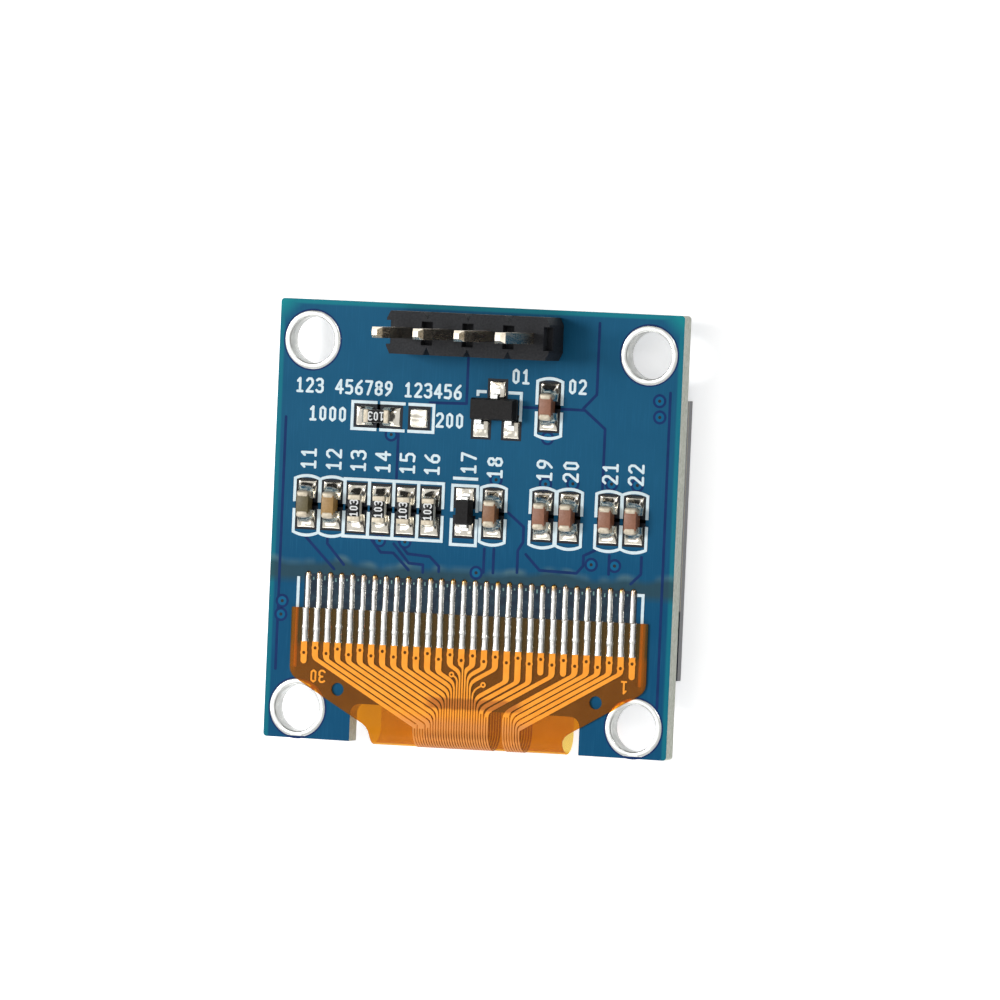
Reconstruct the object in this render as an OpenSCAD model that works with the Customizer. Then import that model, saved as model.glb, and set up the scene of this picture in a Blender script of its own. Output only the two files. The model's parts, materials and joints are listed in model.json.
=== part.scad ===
// Small OLED display module, lying on its display face with the parts side up.
// A glass display panel is taped under a small circuit board. A flexible
// circuit runs from the panel, folds up through the board's notch and is
// soldered to a row of fingers. A four-pin header stands at the other edge.
// The origin is at the board's centre on the display's outer face, with +Y
// towards the header and +Z towards the pins.

/* [Circuit board] */
// Width of the board
board_w = 25.3; // [25:0.1:32]
// Height of the board, from the header edge to the flex edge
board_h = 26.1; // [25.8:0.1:34]
// Thickness of the bare board
board_t = 1.2; // [0.8:0.1:1.6]
// Radius of the board's outer corners
board_corner_r = 0.2; // [0.1:0.1:1]
// Thickness of the copper and its solder coat on the board's faces
plating_t = 0.04; // [0.03:0.01:0.08]
// Wall of a plated hole's barrel
barrel_t = 0.1; // [0.05:0.01:0.12]
// Distance that copper keeps from the board's edges
copper_edge_gap = 0.13; // [0.1:0.01:0.3]

/* [Mounting holes] */
// Diameter of the clear hole
hole_d = 2.8; // [2:0.1:3]
// Width of the solder-coated ring round the hole
ring_w = 0.35; // [0.25:0.05:0.5]
// Distance from a hole's centre to the board's side edge
hole_side_inset = 2.1; // [2:0.1:3]
// Distance from the upper holes' centres to the header edge
hole_top_inset = 2.4; // [2:0.1:2.6]
// Distance from the lower holes' centres to the flex edge
hole_bottom_inset = 1.8; // [1.7:0.1:2.4]

/* [Notch] */
// Width of the notch that the flexible circuit passes through
notch_w = 14.4; // [12.6:0.1:15]
// Depth of the notch
notch_depth = 2.25; // [1.8:0.05:2.6]
// Radius of the notch's inner corners
notch_corner_r = 0.6; // [0.2:0.1:1.2]

/* [Display panel] */
// Distance from the board's side edge to the panel's side
panel_side_inset = 0.23; // [0:0.01:2]
// Height of the rear glass
cap_h = 12.4; // [11.5:0.1:13.5]
// Depth of the front glass's ledge, which holds the driver chip
ledge_h = 4.1; // [3.9:0.1:4.6]
// Distance from the header edge to the panel
panel_top_inset = 5; // [4:0.1:5.2]
// Thickness of the front glass
glass_t = 0.65; // [0.5:0.05:0.7]
// Thickness of the rear glass
cap_t = 0.6; // [0.5:0.05:0.8]
// Depth of the hollow in the rear glass, over the emitting layer
cap_recess = 0.3; // [0.2:0.05:0.35]
// Thickness of the film on the display face
polariser_t = 0.15; // [0.1:0.05:0.3]
// Distance from the film's edge to the panel's edge
polariser_inset = 0.4; // [0.1:0.1:1]
// Thickness of the glue frame between the two glasses
seal_t = 0.05; // [0.04:0.01:0.08]
// Width of the glue frame
seal_w = 0.9; // [0.5:0.1:1.2]
// Thickness of the foam tape that holds the panel to the board
tape_t = 0.3; // [0.2:0.05:0.8]
// Distance from the tape's edge to the rear glass's edge
tape_inset = 0.8; // [0.2:0.1:2]
// Distance from the glue frame's sides to the emitting layer
emitter_side_gap = 0.6; // [0.1:0.1:2]
// Distance from the glue frame's ends to the emitting layer
emitter_end_gap = 0.25; // [0.05:0.05:1]
// Thickness of the emitting layer
emitter_t = 0.03; // [0.02:0.01:0.04]
// Distance from the rear glass's rim to the drying sheet's sides
desiccant_side_gap = 3; // [0.5:0.5:6]
// Distance from the rear glass's rim to the drying sheet's ends
desiccant_end_gap = 1.45; // [0.2:0.05:3]
// Thickness of the drying sheet
desiccant_t = 0.15; // [0.1:0.05:0.2]

/* [Driver chip] */
// Length of the driver chip on the glass ledge
driver_l = 6.8; // [5:0.1:9]
// Width of the driver chip
driver_w = 0.9; // [0.7:0.1:1.2]
// Thickness of the driver chip
driver_t = 0.3; // [0.2:0.05:0.4]
// Clear space between the driver chip and the rear glass
driver_gap = 0.9; // [0.7:0.1:1.2]
// Width of the sealant round the driver chip
sealant_w = 0.3; // [0.2:0.1:0.4]

/* [Flexible circuit] */
// Thickness of the flexible film
flex_t = 0.1; // [0.06:0.01:0.14]
// Thickness of the copper on the film
copper_t = 0.03; // [0.02:0.01:0.04]
// Distance from the outer fingers to the film's side edges
arm_margin = 0.685; // [0.4:0.005:0.9]
// Distance from the film's neck to the notch's sides
neck_gap = 1.15; // [0.8:0.05:2.4]
// Length of the film's side edges beside the fingers
arm_side_l = 4; // [3.6:0.1:4.4]
// Angle of the fanned traces and of the film's slanted edges
fan_angle = 30; // [27:0.5:31]
// Length of the film from its end to the middle of the fold
flex_leg_l = 6.84; // [6.6:0.02:7.4]
// Reach of the fold past the board's flex edge
fold_reach = 0.1; // [0:0.05:0.6]
// Length of film bonded to the glass ledge
bond_l = 1.5; // [1:0.1:1.8]
// Turn of the flexible circuit, as it was hand placed
flex_skew = 0.45; // [0:0.05:0.8]
// Distance between the film's fingers
finger_pitch = 0.71; // [0.68:0.005:0.73]
// Width of a finger
finger_w = 0.38; // [0.3:0.01:0.42]
// Length of the soldered part of a finger
finger_l = 2; // [1.6:0.1:2.2]
// Height of the solder on a finger
finger_solder_h = 0.09; // [0.05:0.01:0.12]
// Width of a fanned trace
trace_w = 0.235; // [0.16:0.005:0.25]
// Distance between the narrow lanes that cross the fold
lane_pitch = 0.165; // [0.15:0.005:0.17]
// Width of a narrow lane
lane_w = 0.1; // [0.06:0.01:0.11]
// Diameter of the small hole in each finger
finger_hole_d = 0.2; // [0.1:0.02:0.24]
// Diameter of the two tooling holes in the film
tooling_hole_d = 0.78; // [0.5:0.02:1]
// Distance from a tooling hole to the film's side edge
tooling_inset = 3.07; // [2.6:0.01:3.6]

/* [Board fingers] */
// How much closer the board's fingers stand than the film's
pitch_slack = 0.005; // [0:0.001:0.01]
// Width of a board finger
board_finger_w = 0.3; // [0.2:0.01:0.36]
// Length of a board finger past the end of the film
board_finger_reach = 2.1; // [1:0.02:2.1]

/* [Header] */
// Distance between the header's pins
pin_pitch = 2.54; // [2:0.01:2.6]
// Number of pins
pin_count = 4; // [3:1:5]
// Side of a square pin
pin_w = 0.64; // [0.5:0.01:0.66]
// Length of a pin above the housing
pin_top_l = 5.5; // [3:0.01:9]
// Length of a pin below the board
pin_tail_l = 1.35; // [0.8:0.05:1.6]
// Length of the tapered tip of a pin
pin_tip_l = 0.5; // [0.2:0.1:0.7]
// Height and depth of the housing
housing_w = 2.54; // [2:0.01:2.6]
// Depth of the V notches between the housing's sections
housing_notch = 0.45; // [0.2:0.05:0.7]
// Width of the pockets between the pins, along the row
pocket_w = 0.7; // [0.3:0.1:0.9]
// Length of a pocket, across the row
pocket_l = 1.4; // [0.8:0.1:1.4]
// Depth of a pocket
pocket_d = 0.7; // [0.3:0.1:1.5]
// Distance from the pins' row to the header edge
header_inset = 1.7; // [1.5:0.1:1.9]
// Sideways place of the header's centre
header_x = 0.1; // [-0.4:0.1:0.4]
// Diameter of the header's plated holes
pin_hole_d = 1.02; // [0.96:0.02:1.1]
// Diameter of the pads round the header's holes
pin_pad_d = 1.8; // [1.5:0.1:1.9]
// Height of the solder cones at the pins' tails
pin_solder_h = 0.8; // [0.4:0.1:0.9]

/* [Chips] */
// Length of a chip resistor or capacitor
chip_l = 1.6; // [1.4:0.1:1.7]
// Width of a chip resistor or capacitor
chip_w = 0.8; // [0.6:0.05:0.9]
// Height of a chip capacitor
capacitor_t = 0.8; // [0.5:0.05:0.9]
// Height of a chip resistor
resistor_t = 0.45; // [0.3:0.05:0.55]
// Length of a chip resistor's metal end
chip_end_l = 0.33; // [0.2:0.01:0.45]
// Length of a chip capacitor's metal end
capacitor_end_l = 0.44; // [0.3:0.01:0.5]
// Rise of a chip's metal ends above its body
chip_end_rise = 0.02; // [0.01:0.01:0.04]
// Reach of a chip's solder pads past its sides
pad_side = 0.18; // [0.05:0.01:0.18]
// Length of a pad past the chip's end
pad_reach = 0.63; // [0.4:0.01:0.7]
// Distance from the board fingers' ends to the main row of chips
row_gap = 3.98; // [3:0.01:4.6]
// Distance from the header edge to the address resistor
address_inset = 6.75; // [6.6:0.05:6.9]
// Distance from the header edge to the single capacitor
supply_inset = 5.7; // [5.4:0.05:5.8]
// Distance from the header edge to the transistor
transistor_inset = 6; // [5.9:0.05:6.2]

/* [Small packages] */
// Length of the transistor's body
transistor_l = 2.8; // [2.6:0.1:3]
// Width of the transistor's body
transistor_w = 1.3; // [1.1:0.1:1.4]
// Height of the transistor's body
transistor_t = 1; // [0.8:0.05:1.1]
// Distance between neighbouring lead places on the transistor
lead_pitch = 0.95; // [0.9:0.01:1]
// Width of a lead
lead_w = 0.42; // [0.3:0.01:0.5]
// Thickness of a lead
lead_t = 0.13; // [0.1:0.01:0.18]
// Reach of a lead past the body
lead_reach = 0.55; // [0.4:0.05:0.6]
// Length of the diode's body
diode_l = 1.5; // [1.3:0.05:1.5]
// Width of the diode's body
diode_w = 0.95; // [0.9:0.05:1.2]
// Height of the diode's body
diode_t = 0.85; // [0.6:0.05:1]
// Reach of the diode's leads past its body
diode_lead_reach = 0.35; // [0.3:0.05:0.4]
// Draft of a moulded package's sides
draft = 0.1; // [0.05:0.01:0.14]

/* [White print] */
// Width of a printed line
line_w = 0.18; // [0.12:0.02:0.24]
// Thickness of the print
print_t = 0.03; // [0.02:0.01:0.03]

/* [Hidden] */
$fn = 48;
SMALL_FN = 16;
// Most of a side that the rounding of one of its corners may take
CORNER_SHARE = 0.48;
// Steps in a quarter turn of a rounded outline
ARC_STEPS = 5;
// Extra depth of a cut that passes right through
CUT = 1;

// Heights of the stack, from the display face up
GLASS_Z = polariser_t;
SEAL_Z = GLASS_Z + glass_t;
CAP_Z = SEAL_Z + seal_t;
TAPE_Z = CAP_Z + cap_t;
BOARD_Z = TAPE_Z + tape_t;
TOP_Z = BOARD_Z + board_t;
PAD_Z = TOP_Z + plating_t;

// Edges of the board and of the panel
HEADER_EDGE = board_h / 2;
FLEX_EDGE = -board_h / 2;
PANEL_W = board_w - 2 * panel_side_inset;
PANEL_TOP = HEADER_EDGE - panel_top_inset;
CAP_BOTTOM = PANEL_TOP - cap_h;
PANEL_BOTTOM = CAP_BOTTOM - ledge_h;
PANEL_CENTRE = (PANEL_TOP + CAP_BOTTOM) / 2;

// Clear room inside the glue frame and the rear glass's rim
INNER_W = PANEL_W - 2 * seal_w;
INNER_H = cap_h - 2 * seal_w;

// Centres of the mounting holes, clockwise from the upper left
HOLE_X = board_w / 2 - hole_side_inset;
HOLES = [
    [-HOLE_X, HEADER_EDGE - hole_top_inset],
    [HOLE_X, HEADER_EDGE - hole_top_inset],
    [HOLE_X, FLEX_EDGE + hole_bottom_inset],
    [-HOLE_X, FLEX_EDGE + hole_bottom_inset]
];

// Header
HEADER_Y = HEADER_EDGE - header_inset;
HOUSING_L = pin_count * pin_pitch;
// Half the width of a V notch, as a share of its depth
NOTCH_RATIO = 0.5;
HOUSING_TOP = PAD_Z + housing_w;
// Solder cones under the board: they end above the pins' tapered tips
LOW_PAD_Z = BOARD_Z - plating_t;
CONE_TIP_Z = max(LOW_PAD_Z - pin_solder_h, BOARD_Z - pin_tail_l + pin_tip_l);
CONE_STEPS = 4;
SOLDER_SKIN = 0.03;
function pin_x(i) = header_x + (i - (pin_count - 1) / 2) * pin_pitch;

// Fold of the flexible circuit: its film touches the pads above and its
// copper touches the glass ledge below
FILM_LOW_Z = SEAL_Z + copper_t;
FILM_TOP_Z = PAD_Z + flex_t;
FOLD_R = (FILM_TOP_Z - FILM_LOW_Z) / 2;
FOLD_Z = (FILM_TOP_Z + FILM_LOW_Z) / 2;
FOLD_Y = FLEX_EDGE - fold_reach + FOLD_R;
FLEX_END = FOLD_Y + flex_leg_l;
BOND_END = PANEL_BOTTOM + bond_l;
FINGER_END = FLEX_END - finger_l;

// Rounding of the film's outline
ARM_R = 0.8;
NECK_R = 0.8;
// Length of the upper leg that the neck's band shares
NECK_LAP = 0.3;
// Drop from the film's corners to the tooling holes' row
TOOLING_DROP = 0.77;
TOOLING_Y = FLEX_END - arm_side_l - TOOLING_DROP;

// Number of fold lanes that each finger's trace splits into, from left to
// right: a power trace takes two or three, and 0 is a finger that ends short
TRACE_LANES = [
    0, 2, 3, 2, 1, 1, 1, 1, 1, 1, 1, 1, 1, 1, 1,
    1, 1, 1, 1, 1, 2, 0, 2, 0, 3, 1, 1, 1, 1, 0
];
FINGERS = len(TRACE_LANES);
ARM_W = (FINGERS - 1) * finger_pitch + finger_w + 2 * arm_margin;
NECK_W = notch_w - 2 * neck_gap;
BOARD_FINGER_PITCH = finger_pitch - pitch_slack;
// Clearance between the film's turned end and the solder on the board's
// fingers, and where that solder starts
SOLDER_CLEAR = 0.025;
SOLDER_START = FLEX_END + ARM_W / 2 * sin(flex_skew) + SOLDER_CLEAR;
BOARD_FINGER_END = FLEX_END + board_finger_reach;
// Fingers that start a new group, and the lanes left free before each: one
// lane for each test pad, and a wide gap before the last group
TEST_A = 13;
TEST_B = 18;
LAST_GROUP = 24;
LAST_GAP = 5;
// First finger past the middle group, and the drops of the bends of the
// middle group and of the power trace beside it
MIDDLE_END = 21;
MIDDLE_DROP = 0.8;
POWER_DROP = 0.36;
LANES = 41;
// Sideways place of the lanes' middle on the film
LANE_SHIFT = 0.09;
// Drops from the soldered part of the fingers to the first row of finger
// holes, from there to the second row, and to the end of a short finger
HOLE_DROP = 0.38;
HOLE_STEP = 0.3;
STUB_DROP = 1.14;
// Clear length between the outer trace's last bend and the fold
FAN_CLEAR = 0.12;
// Step down from a trace's bend to its inner neighbour's, left and right
FAN_STEP_LEFT = 0.04;
FAN_STEP_RIGHT = 0.05;
// Radii of a trace's upper and lower bends, the least radius of an edge's
// corner, and steps in a bend
BEND_R = 0.3;
LANE_BEND_R = 0.6;
MIN_R = 0.02;
BEND_STEPS = 3;
// Rings round the finger holes, and test pads
FINGER_RING_D = 0.44;
TEST_PAD_D = 0.34;
TEST_HOLE_D = 0.14;
// Test pads: place across the film, drop from the outer bends, free lane
TEST_PADS = [[-0.93, 0.55, 16], [1.07, 1.07, 22]];

// Solder-coated fingers: share of the height that is straight, and steps of
// the rounded top
FINGER_SIDE = 0.4;
FINGER_STEPS = 6;

// Solder pads: width, and the fillets' share of the pad's width, share of the
// chip's height that they climb, and their curve in shares of reach and rise
PAD_W = chip_w + 2 * pad_side;
FILLET_W_RATIO = 0.75;
FILLET_RATIO = 0.55;
FILLET_CURVE = [[0, 0], [0.95, 0], [0.5, 0.3], [0.2, 0.65], [0, 1]];
// Overlap of a chip's end on its pad
PAD_UNDER = 0.4;
// Softening of a chip's edges, as a share of its width
CHIP_R_RATIO = 1 / 12;

// Places of the chips across the board, left to right in the main row
CAPACITOR_X = [-10.5, -8.9, 1.25, 4.35, 6, 8.45, 10.05];
RESISTOR_X = [-7.35, -5.8, -4.25, -2.7];
DIODE_X = -0.55;
ADDRESS_X = -6.2;
SPARE_PAD_X = -3.63;
SPARE_PAD_W = 1.15;
SUPPLY_X = 4.48;
TRANSISTOR_X = 1.22;
// The diode sits to the right of its pads' middle, and the resistors of the
// main row stand a little below the capacitors
DIODE_SHIFT = 0.15;
RESISTOR_DROP = 0.1;
ROW_Y = BOARD_FINGER_END + row_gap;
ADDRESS_Y = HEADER_EDGE - address_inset;
SUPPLY_Y = HEADER_EDGE - supply_inset;
TRANSISTOR_Y = HEADER_EDGE - transistor_inset;
// Each place: across, along, turn
CAPACITORS = concat([for (x = CAPACITOR_X) [x, ROW_Y, 0]], [[SUPPLY_X, SUPPLY_Y, 0]]);
RESISTORS = concat([for (x = RESISTOR_X) [x, ROW_Y - RESISTOR_DROP, 0]], [[ADDRESS_X, ADDRESS_Y, 90]]);

// White print: clear way from the pads to the frames' ends, height of a
// frame, what an arched end adds and how far it rises, gaps in the side
// lines, width of a frame, and how far the frames sit below the chips
FRAME_CLEAR = 0.27;
FRAME_H = chip_l + 2 * (pad_reach + FRAME_CLEAR);
ARCH_EXTRA = 0.07;
ARCH_RISE = 0.22;
SIDE_GAP = 0.4;
CELL_W = 1.57;
FRAME_DROP = 0.1;
// Distance from a pad to the line round it, gap between two lines of the
// address frame, and inset of the bracket from the film's sides
PRINT_GAP = 0.22;
LINE_GAP = 0.18;
BRACKET_INSET = 0.36;

// ---------------------------------------------------------------- helpers

// Points of an arc from one angle to another
function arc(centre, r, from, to, steps = ARC_STEPS) = [
    for (k = [0:steps])
        let (a = from + (to - from) * k / steps) centre + r * [cos(a), sin(a)]
];

// Outline of a rectangle with rounded corners, centred
function round_rect(w, h, r) = concat(
    arc([w / 2 - r, h / 2 - r], r, 0, 90),
    arc([r - w / 2, h / 2 - r], r, 90, 180),
    arc([r - w / 2, r - h / 2], r, 180, 270),
    arc([w / 2 - r, r - h / 2], r, 270, 360)
);

// Sum of a list's first n values
function sum(list, n) = n == 0 ? 0 : list[n - 1] + sum(list, n - 1);

function unit(v) = v / norm(v);
function left_of(v) = [-v.y, v.x];

// Points that round the corner b of a-b-c with radius r, or less where the
// sides are short
function rounded_corner(a, b, c, r) =
    let (
        u = unit(a - b), v = unit(c - b),
        half = acos(u * v) / 2,
        room = min(norm(a - b), norm(c - b)) * CORNER_SHARE,
        reach = min(r / tan(half), room),
        radius = reach * tan(half),
        middle = b + unit(u + v) * radius / sin(half),
        start = b + u * reach - middle,
        from = atan2(start.y, start.x),
        turn = (180 - 2 * half) * (cross(u, v) < 0 ? 1 : -1)
    )
    arc(middle, radius, from, from + turn, BEND_STEPS);

// Where the line through p along u meets the line through q along v
function meet(p, u, q, v) = abs(cross(u, v)) < 1e-6 ? q : p + u * cross(q - p, v) / cross(u, v);

// One edge of a track along path, on its left side for 1 or its right side
// for -1. Each stretch has its own width, and each corner its own radius
function track_edge(path, widths, radii, side) =
    let (
        last = len(path) - 1,
        along = [for (k = [0:last - 1]) unit(path[k + 1] - path[k])],
        shift = [for (k = [0:last - 1]) side * left_of(along[k]) * widths[k] / 2],
        corner = concat(
            [path[0] + shift[0]],
            [for (k = [1:last - 1])
                meet(path[k] + shift[k - 1], along[k - 1], path[k] + shift[k], along[k])],
            [path[last] + shift[last - 1]]
        )
    )
    concat(
        [corner[0]],
        [for (k = [1:last - 1])
            let (
                inner = cross(along[k - 1], along[k]) * side > 0,
                r = radii[k - 1] + (inner ? -1 : 1) * widths[k] / 2
            )
            each rounded_corner(corner[k - 1], corner[k], corner[k + 1], max(r, MIN_R))],
        [corner[last]]
    );

function reversed(list) = [for (k = [len(list) - 1:-1:0]) list[k]];

// Outline of a track along path
function track(path, widths, radii) =
    concat(track_edge(path, widths, radii, 1), reversed(track_edge(path, widths, radii, -1)));

// A block whose outline is given by points, standing on z
module slab(points, z, t) {
    translate([0, 0, z])
    linear_extrude(t)
    polygon(points);
}

// A centred block standing on z, with its centre at y
module plate(w, h, y, z, t) {
    translate([-w / 2, y - h / 2, z])
    cube([w, h, t]);
}

module plate_at(x, y, w, h, z, t) {
    translate([x, 0, 0])
    plate(w, h, y, z, t);
}

// A bar of length l centred along X, whose section in Y and Z is the child
module along_x(l) {
    translate([-l / 2, 0, 0])
    rotate([90, 0, 90])
    linear_extrude(l)
    children();
}

module bar_x(points, l) {
    along_x(l)
    polygon(points);
}

// A bar of section points in X and Z, from y0 along +Y
module bar_y(points, y0, l) {
    translate([0, y0 + l, 0])
    rotate([90, 0, 0])
    linear_extrude(l)
    polygon(points);
}

// A plated hole: a barrel with a ring on both faces of the board
module plated_hole(hole_r, ring_r) {
    translate([0, 0, BOARD_Z])
    rotate_extrude()
    polygon([
        [hole_r, -plating_t], [ring_r, -plating_t], [ring_r, 0], [hole_r + barrel_t, 0],
        [hole_r + barrel_t, board_t], [ring_r, board_t],
        [ring_r, board_t + plating_t], [hole_r, board_t + plating_t]
    ]);
}

// ------------------------------------------------------------------ board

function notch_outline() =
    let (top = FLEX_EDGE + notch_depth, side = notch_w / 2 - notch_corner_r)
    concat(
        [[notch_w / 2, FLEX_EDGE - CUT]],
        arc([side, top - notch_corner_r], notch_corner_r, 0, 90),
        arc([-side, top - notch_corner_r], notch_corner_r, 90, 180),
        [[-notch_w / 2, FLEX_EDGE - CUT]]
    );

module circuit_board() {
    color("#1b5578")
    difference() {
        slab(round_rect(board_w, board_h, board_corner_r), BOARD_Z, board_t);
        slab(notch_outline(), BOARD_Z - CUT, board_t + 2 * CUT);
        for (place = HOLES)
            translate([place.x, place.y, BOARD_Z - CUT])
            cylinder(h = board_t + 2 * CUT, r = hole_d / 2 + barrel_t);
        for (i = [0:pin_count - 1])
            translate([pin_x(i), HEADER_Y, BOARD_Z - CUT])
            cylinder(h = board_t + 2 * CUT, r = pin_hole_d / 2 + barrel_t);
    }
}

// The rings near an edge are cut straight where the copper has to stop
module mount_eyelet(place) {
    color("#d9dcdc")
    intersection() {
        translate([place.x, place.y, 0])
        plated_hole(hole_d / 2, hole_d / 2 + ring_w);
        plate(board_w - 2 * copper_edge_gap, board_h - 2 * copper_edge_gap, 0, 0, 2 * TOP_Z);
    }
}

module header_pads() {
    color("#d9dcdc")
    for (i = [0:pin_count - 1])
        translate([pin_x(i), HEADER_Y, 0])
        plated_hole(pin_hole_d / 2, pin_pad_d / 2);
}

// Section of a solder-coated finger: flat below, rounded above
function finger_section(w, z, t) = concat(
    [[-w / 2, z], [w / 2, z]],
    [for (k = [0:FINGER_STEPS])
        let (a = 180 * k / FINGER_STEPS)
        [w / 2 * cos(a), z + t * (FINGER_SIDE + (1 - FINGER_SIDE) * sin(a))]]
);

function finger_x(i, pitch) = (i - (FINGERS - 1) / 2) * pitch;

module board_fingers() {
    color("#d7d9d6")
    for (i = [0:FINGERS - 1])
        translate([finger_x(i, BOARD_FINGER_PITCH), 0, 0]) {
            plate(board_finger_w, finger_l, FLEX_END - finger_l / 2, TOP_Z, plating_t);
            bar_y(finger_section(board_finger_w, TOP_Z, finger_solder_h + plating_t),
                SOLDER_START, BOARD_FINGER_END - SOLDER_START);
            plate(board_finger_w, board_finger_reach, FLEX_END + board_finger_reach / 2,
                TOP_Z, plating_t);
        }
}

// ---------------------------------------------------------------- display

module polariser() {
    color("#1c1f24")
    plate(PANEL_W - 2 * polariser_inset, cap_h - 2 * polariser_inset, PANEL_CENTRE, 0, polariser_t);
}

module panel_glass() {
    color("#27313a")
    plate(PANEL_W, cap_h + ledge_h, (PANEL_TOP + PANEL_BOTTOM) / 2, GLASS_Z, glass_t);
}

module emitter_layer() {
    color("#b9bec4")
    plate(INNER_W - 2 * emitter_side_gap, INNER_H - 2 * emitter_end_gap,
        PANEL_CENTRE, SEAL_Z, emitter_t);
}

module seal_frame() {
    color("#c9b98a")
    difference() {
        plate(PANEL_W, cap_h, PANEL_CENTRE, SEAL_Z, seal_t);
        plate(INNER_W, INNER_H, PANEL_CENTRE, SEAL_Z - CUT, seal_t + 2 * CUT);
    }
}

module cap_glass() {
    color("#3a4650")
    difference() {
        plate(PANEL_W, cap_h, PANEL_CENTRE, CAP_Z, cap_t);
        plate(INNER_W, INNER_H, PANEL_CENTRE, CAP_Z - CUT, cap_recess + CUT);
    }
}

module desiccant() {
    color("#e8e6de")
    plate(INNER_W - 2 * desiccant_side_gap, INNER_H - 2 * desiccant_end_gap,
        PANEL_CENTRE, CAP_Z + cap_recess - desiccant_t, desiccant_t);
}

module mount_tape() {
    color("#f0f0ec")
    plate(PANEL_W - 2 * tape_inset, cap_h - 2 * tape_inset, PANEL_CENTRE, TAPE_Z, tape_t);
}

DRIVER_Y = CAP_BOTTOM - driver_gap - driver_w / 2;

module driver_chip() {
    color("#4a4d52")
    plate(driver_l, driver_w, DRIVER_Y, SEAL_Z, driver_t);
}

// A bead of sealant with sloping sides, open over the chip's back
module chip_sealant() {
    color("#6d7f86")
    difference() {
        intersection() {
            bar_x(bead_section(driver_w), driver_l + 2 * sealant_w);
            rotate([0, 0, 90])
            translate([DRIVER_Y, 0, 0])
            bar_x(bead_across(driver_l), 2 * driver_w + 4 * sealant_w);
        }
        plate(driver_l, driver_w, DRIVER_Y, SEAL_Z - CUT, driver_t + 2 * CUT);
    }
}

function bead_section(w) = [
    [DRIVER_Y - w / 2 - sealant_w, SEAL_Z], [DRIVER_Y + w / 2 + sealant_w, SEAL_Z],
    [DRIVER_Y + w / 2 + sealant_w / 2, SEAL_Z + driver_t],
    [DRIVER_Y - w / 2 - sealant_w / 2, SEAL_Z + driver_t]
];

function bead_across(l) = [
    [-l / 2 - sealant_w, SEAL_Z], [l / 2 + sealant_w, SEAL_Z],
    [l / 2 + sealant_w / 2, SEAL_Z + driver_t], [-l / 2 - sealant_w / 2, SEAL_Z + driver_t]
];

// ------------------------------------------------------- flexible circuit

// Outline of the film's upper leg: wide at the fingers, slanting in to the
// neck that passes through the notch
function arm_outline() =
    let (
        side = ARM_W / 2, neck = NECK_W / 2,
        corner = FLEX_END - arm_side_l,
        shoulder = corner - (side - neck) * tan(fan_angle)
    )
    let (
        low = min(shoulder, FOLD_Y - FOLD_R) - CUT,
        right = concat(
            [[side, FLEX_END]],
            rounded_corner([side, FLEX_END], [side, corner], [neck, shoulder], ARM_R),
            rounded_corner([side, corner], [neck, shoulder], [neck, low], NECK_R),
            [[neck, low]]
        )
    )
    concat(right, reversed([for (p = right) [-p.x, p.y]]));

// Side view of a band of thickness t that goes round the fold with outer
// radius r, with legs that reach to the ends given for top and bottom
module fold_band(r, t, top_end, low_end) {
    translate([FOLD_Y, FOLD_Z])
    difference() {
        union() {
            circle(r);
            square([top_end - FOLD_Y, r]);
            translate([0, -r])
            square([low_end - FOLD_Y, r]);
        }
        circle(r - t);
        translate([0, t - r])
        square([board_h, 2 * (r - t)]);
    }
}

// The upper leg with its half of the fold is cut to the film's outline
module flex_film() {
    color("#a86a1e")
    rotate([0, 0, flex_skew]) {
        difference() {
            intersection() {
                along_x(board_w)
                fold_band(FOLD_R, flex_t, FLEX_END + CUT, BOND_END);
                slab(arm_outline(), FOLD_Z, FOLD_R + CUT);
            }
            for (side = [-1, 1])
                translate([side * (ARM_W / 2 - tooling_inset), TOOLING_Y, PAD_Z - CUT])
                cylinder(h = flex_t + 2 * CUT, d = tooling_hole_d);
        }
        along_x(NECK_W)
        fold_band(FOLD_R, flex_t, FOLD_Y + NECK_LAP, BOND_END);
    }
}

// First lane of a finger's trace
function first_lane(i) =
    sum(TRACE_LANES, i) + (i >= TEST_A ? 1 : 0) + (i >= TEST_B ? 1 : 0)
    + (i >= LAST_GROUP ? LAST_GAP : 0);

function lane_x(k) = LANE_SHIFT + (k - (LANES - 1) / 2) * lane_pitch;

// Middle of the lanes of a finger's trace, and their width together
function trace_lane_x(i) = lane_x(first_lane(i) + (TRACE_LANES[i] - 1) / 2);
function lanes_w(n) = (n - 1) * lane_pitch + lane_w;

// Sideways run of a trace from its finger to its lanes, and its drop there
function fan_run(i) = abs(trace_lane_x(i) - finger_x(i, finger_pitch));
function fan_drop(i) = max(fan_run(i) * tan(fan_angle), MIN_R);

// Heights of the outer traces' bends, so that the lowest clears the fold
FAN_TOP = FOLD_Y + FAN_CLEAR + max(fan_drop(1), fan_drop(FINGERS - 2));

// Height of a trace's bend. Each group steps down towards the middle, so
// that the slanted traces lie side by side
function bend_y(i) =
    i < TEST_A ? FAN_TOP - FAN_STEP_LEFT * (i - 1)
    : i < TEST_B ? FAN_TOP + FAN_STEP_RIGHT * (1 - abs(i - TEST_A - 1))
    : i < MIDDLE_END ? FAN_TOP - MIDDLE_DROP
    : i < LAST_GROUP ? FAN_TOP - POWER_DROP
    : FAN_TOP - FAN_STEP_RIGHT * (FINGERS - 2 - i);

// Outline of a trace on the upper leg: a finger's width down to its bend, a
// slanted run, then its lanes together down to the fold
function trace_outline(i) =
    let (
        x = finger_x(i, finger_pitch), lane = trace_lane_x(i), bend = bend_y(i),
        path = [[x, FINGER_END], [x, bend], [lane, bend - fan_drop(i)], [lane, FOLD_Y]]
    )
    track(path, [finger_w, trace_w, lanes_w(TRACE_LANES[i])], [BEND_R, LANE_BEND_R]);

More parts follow.
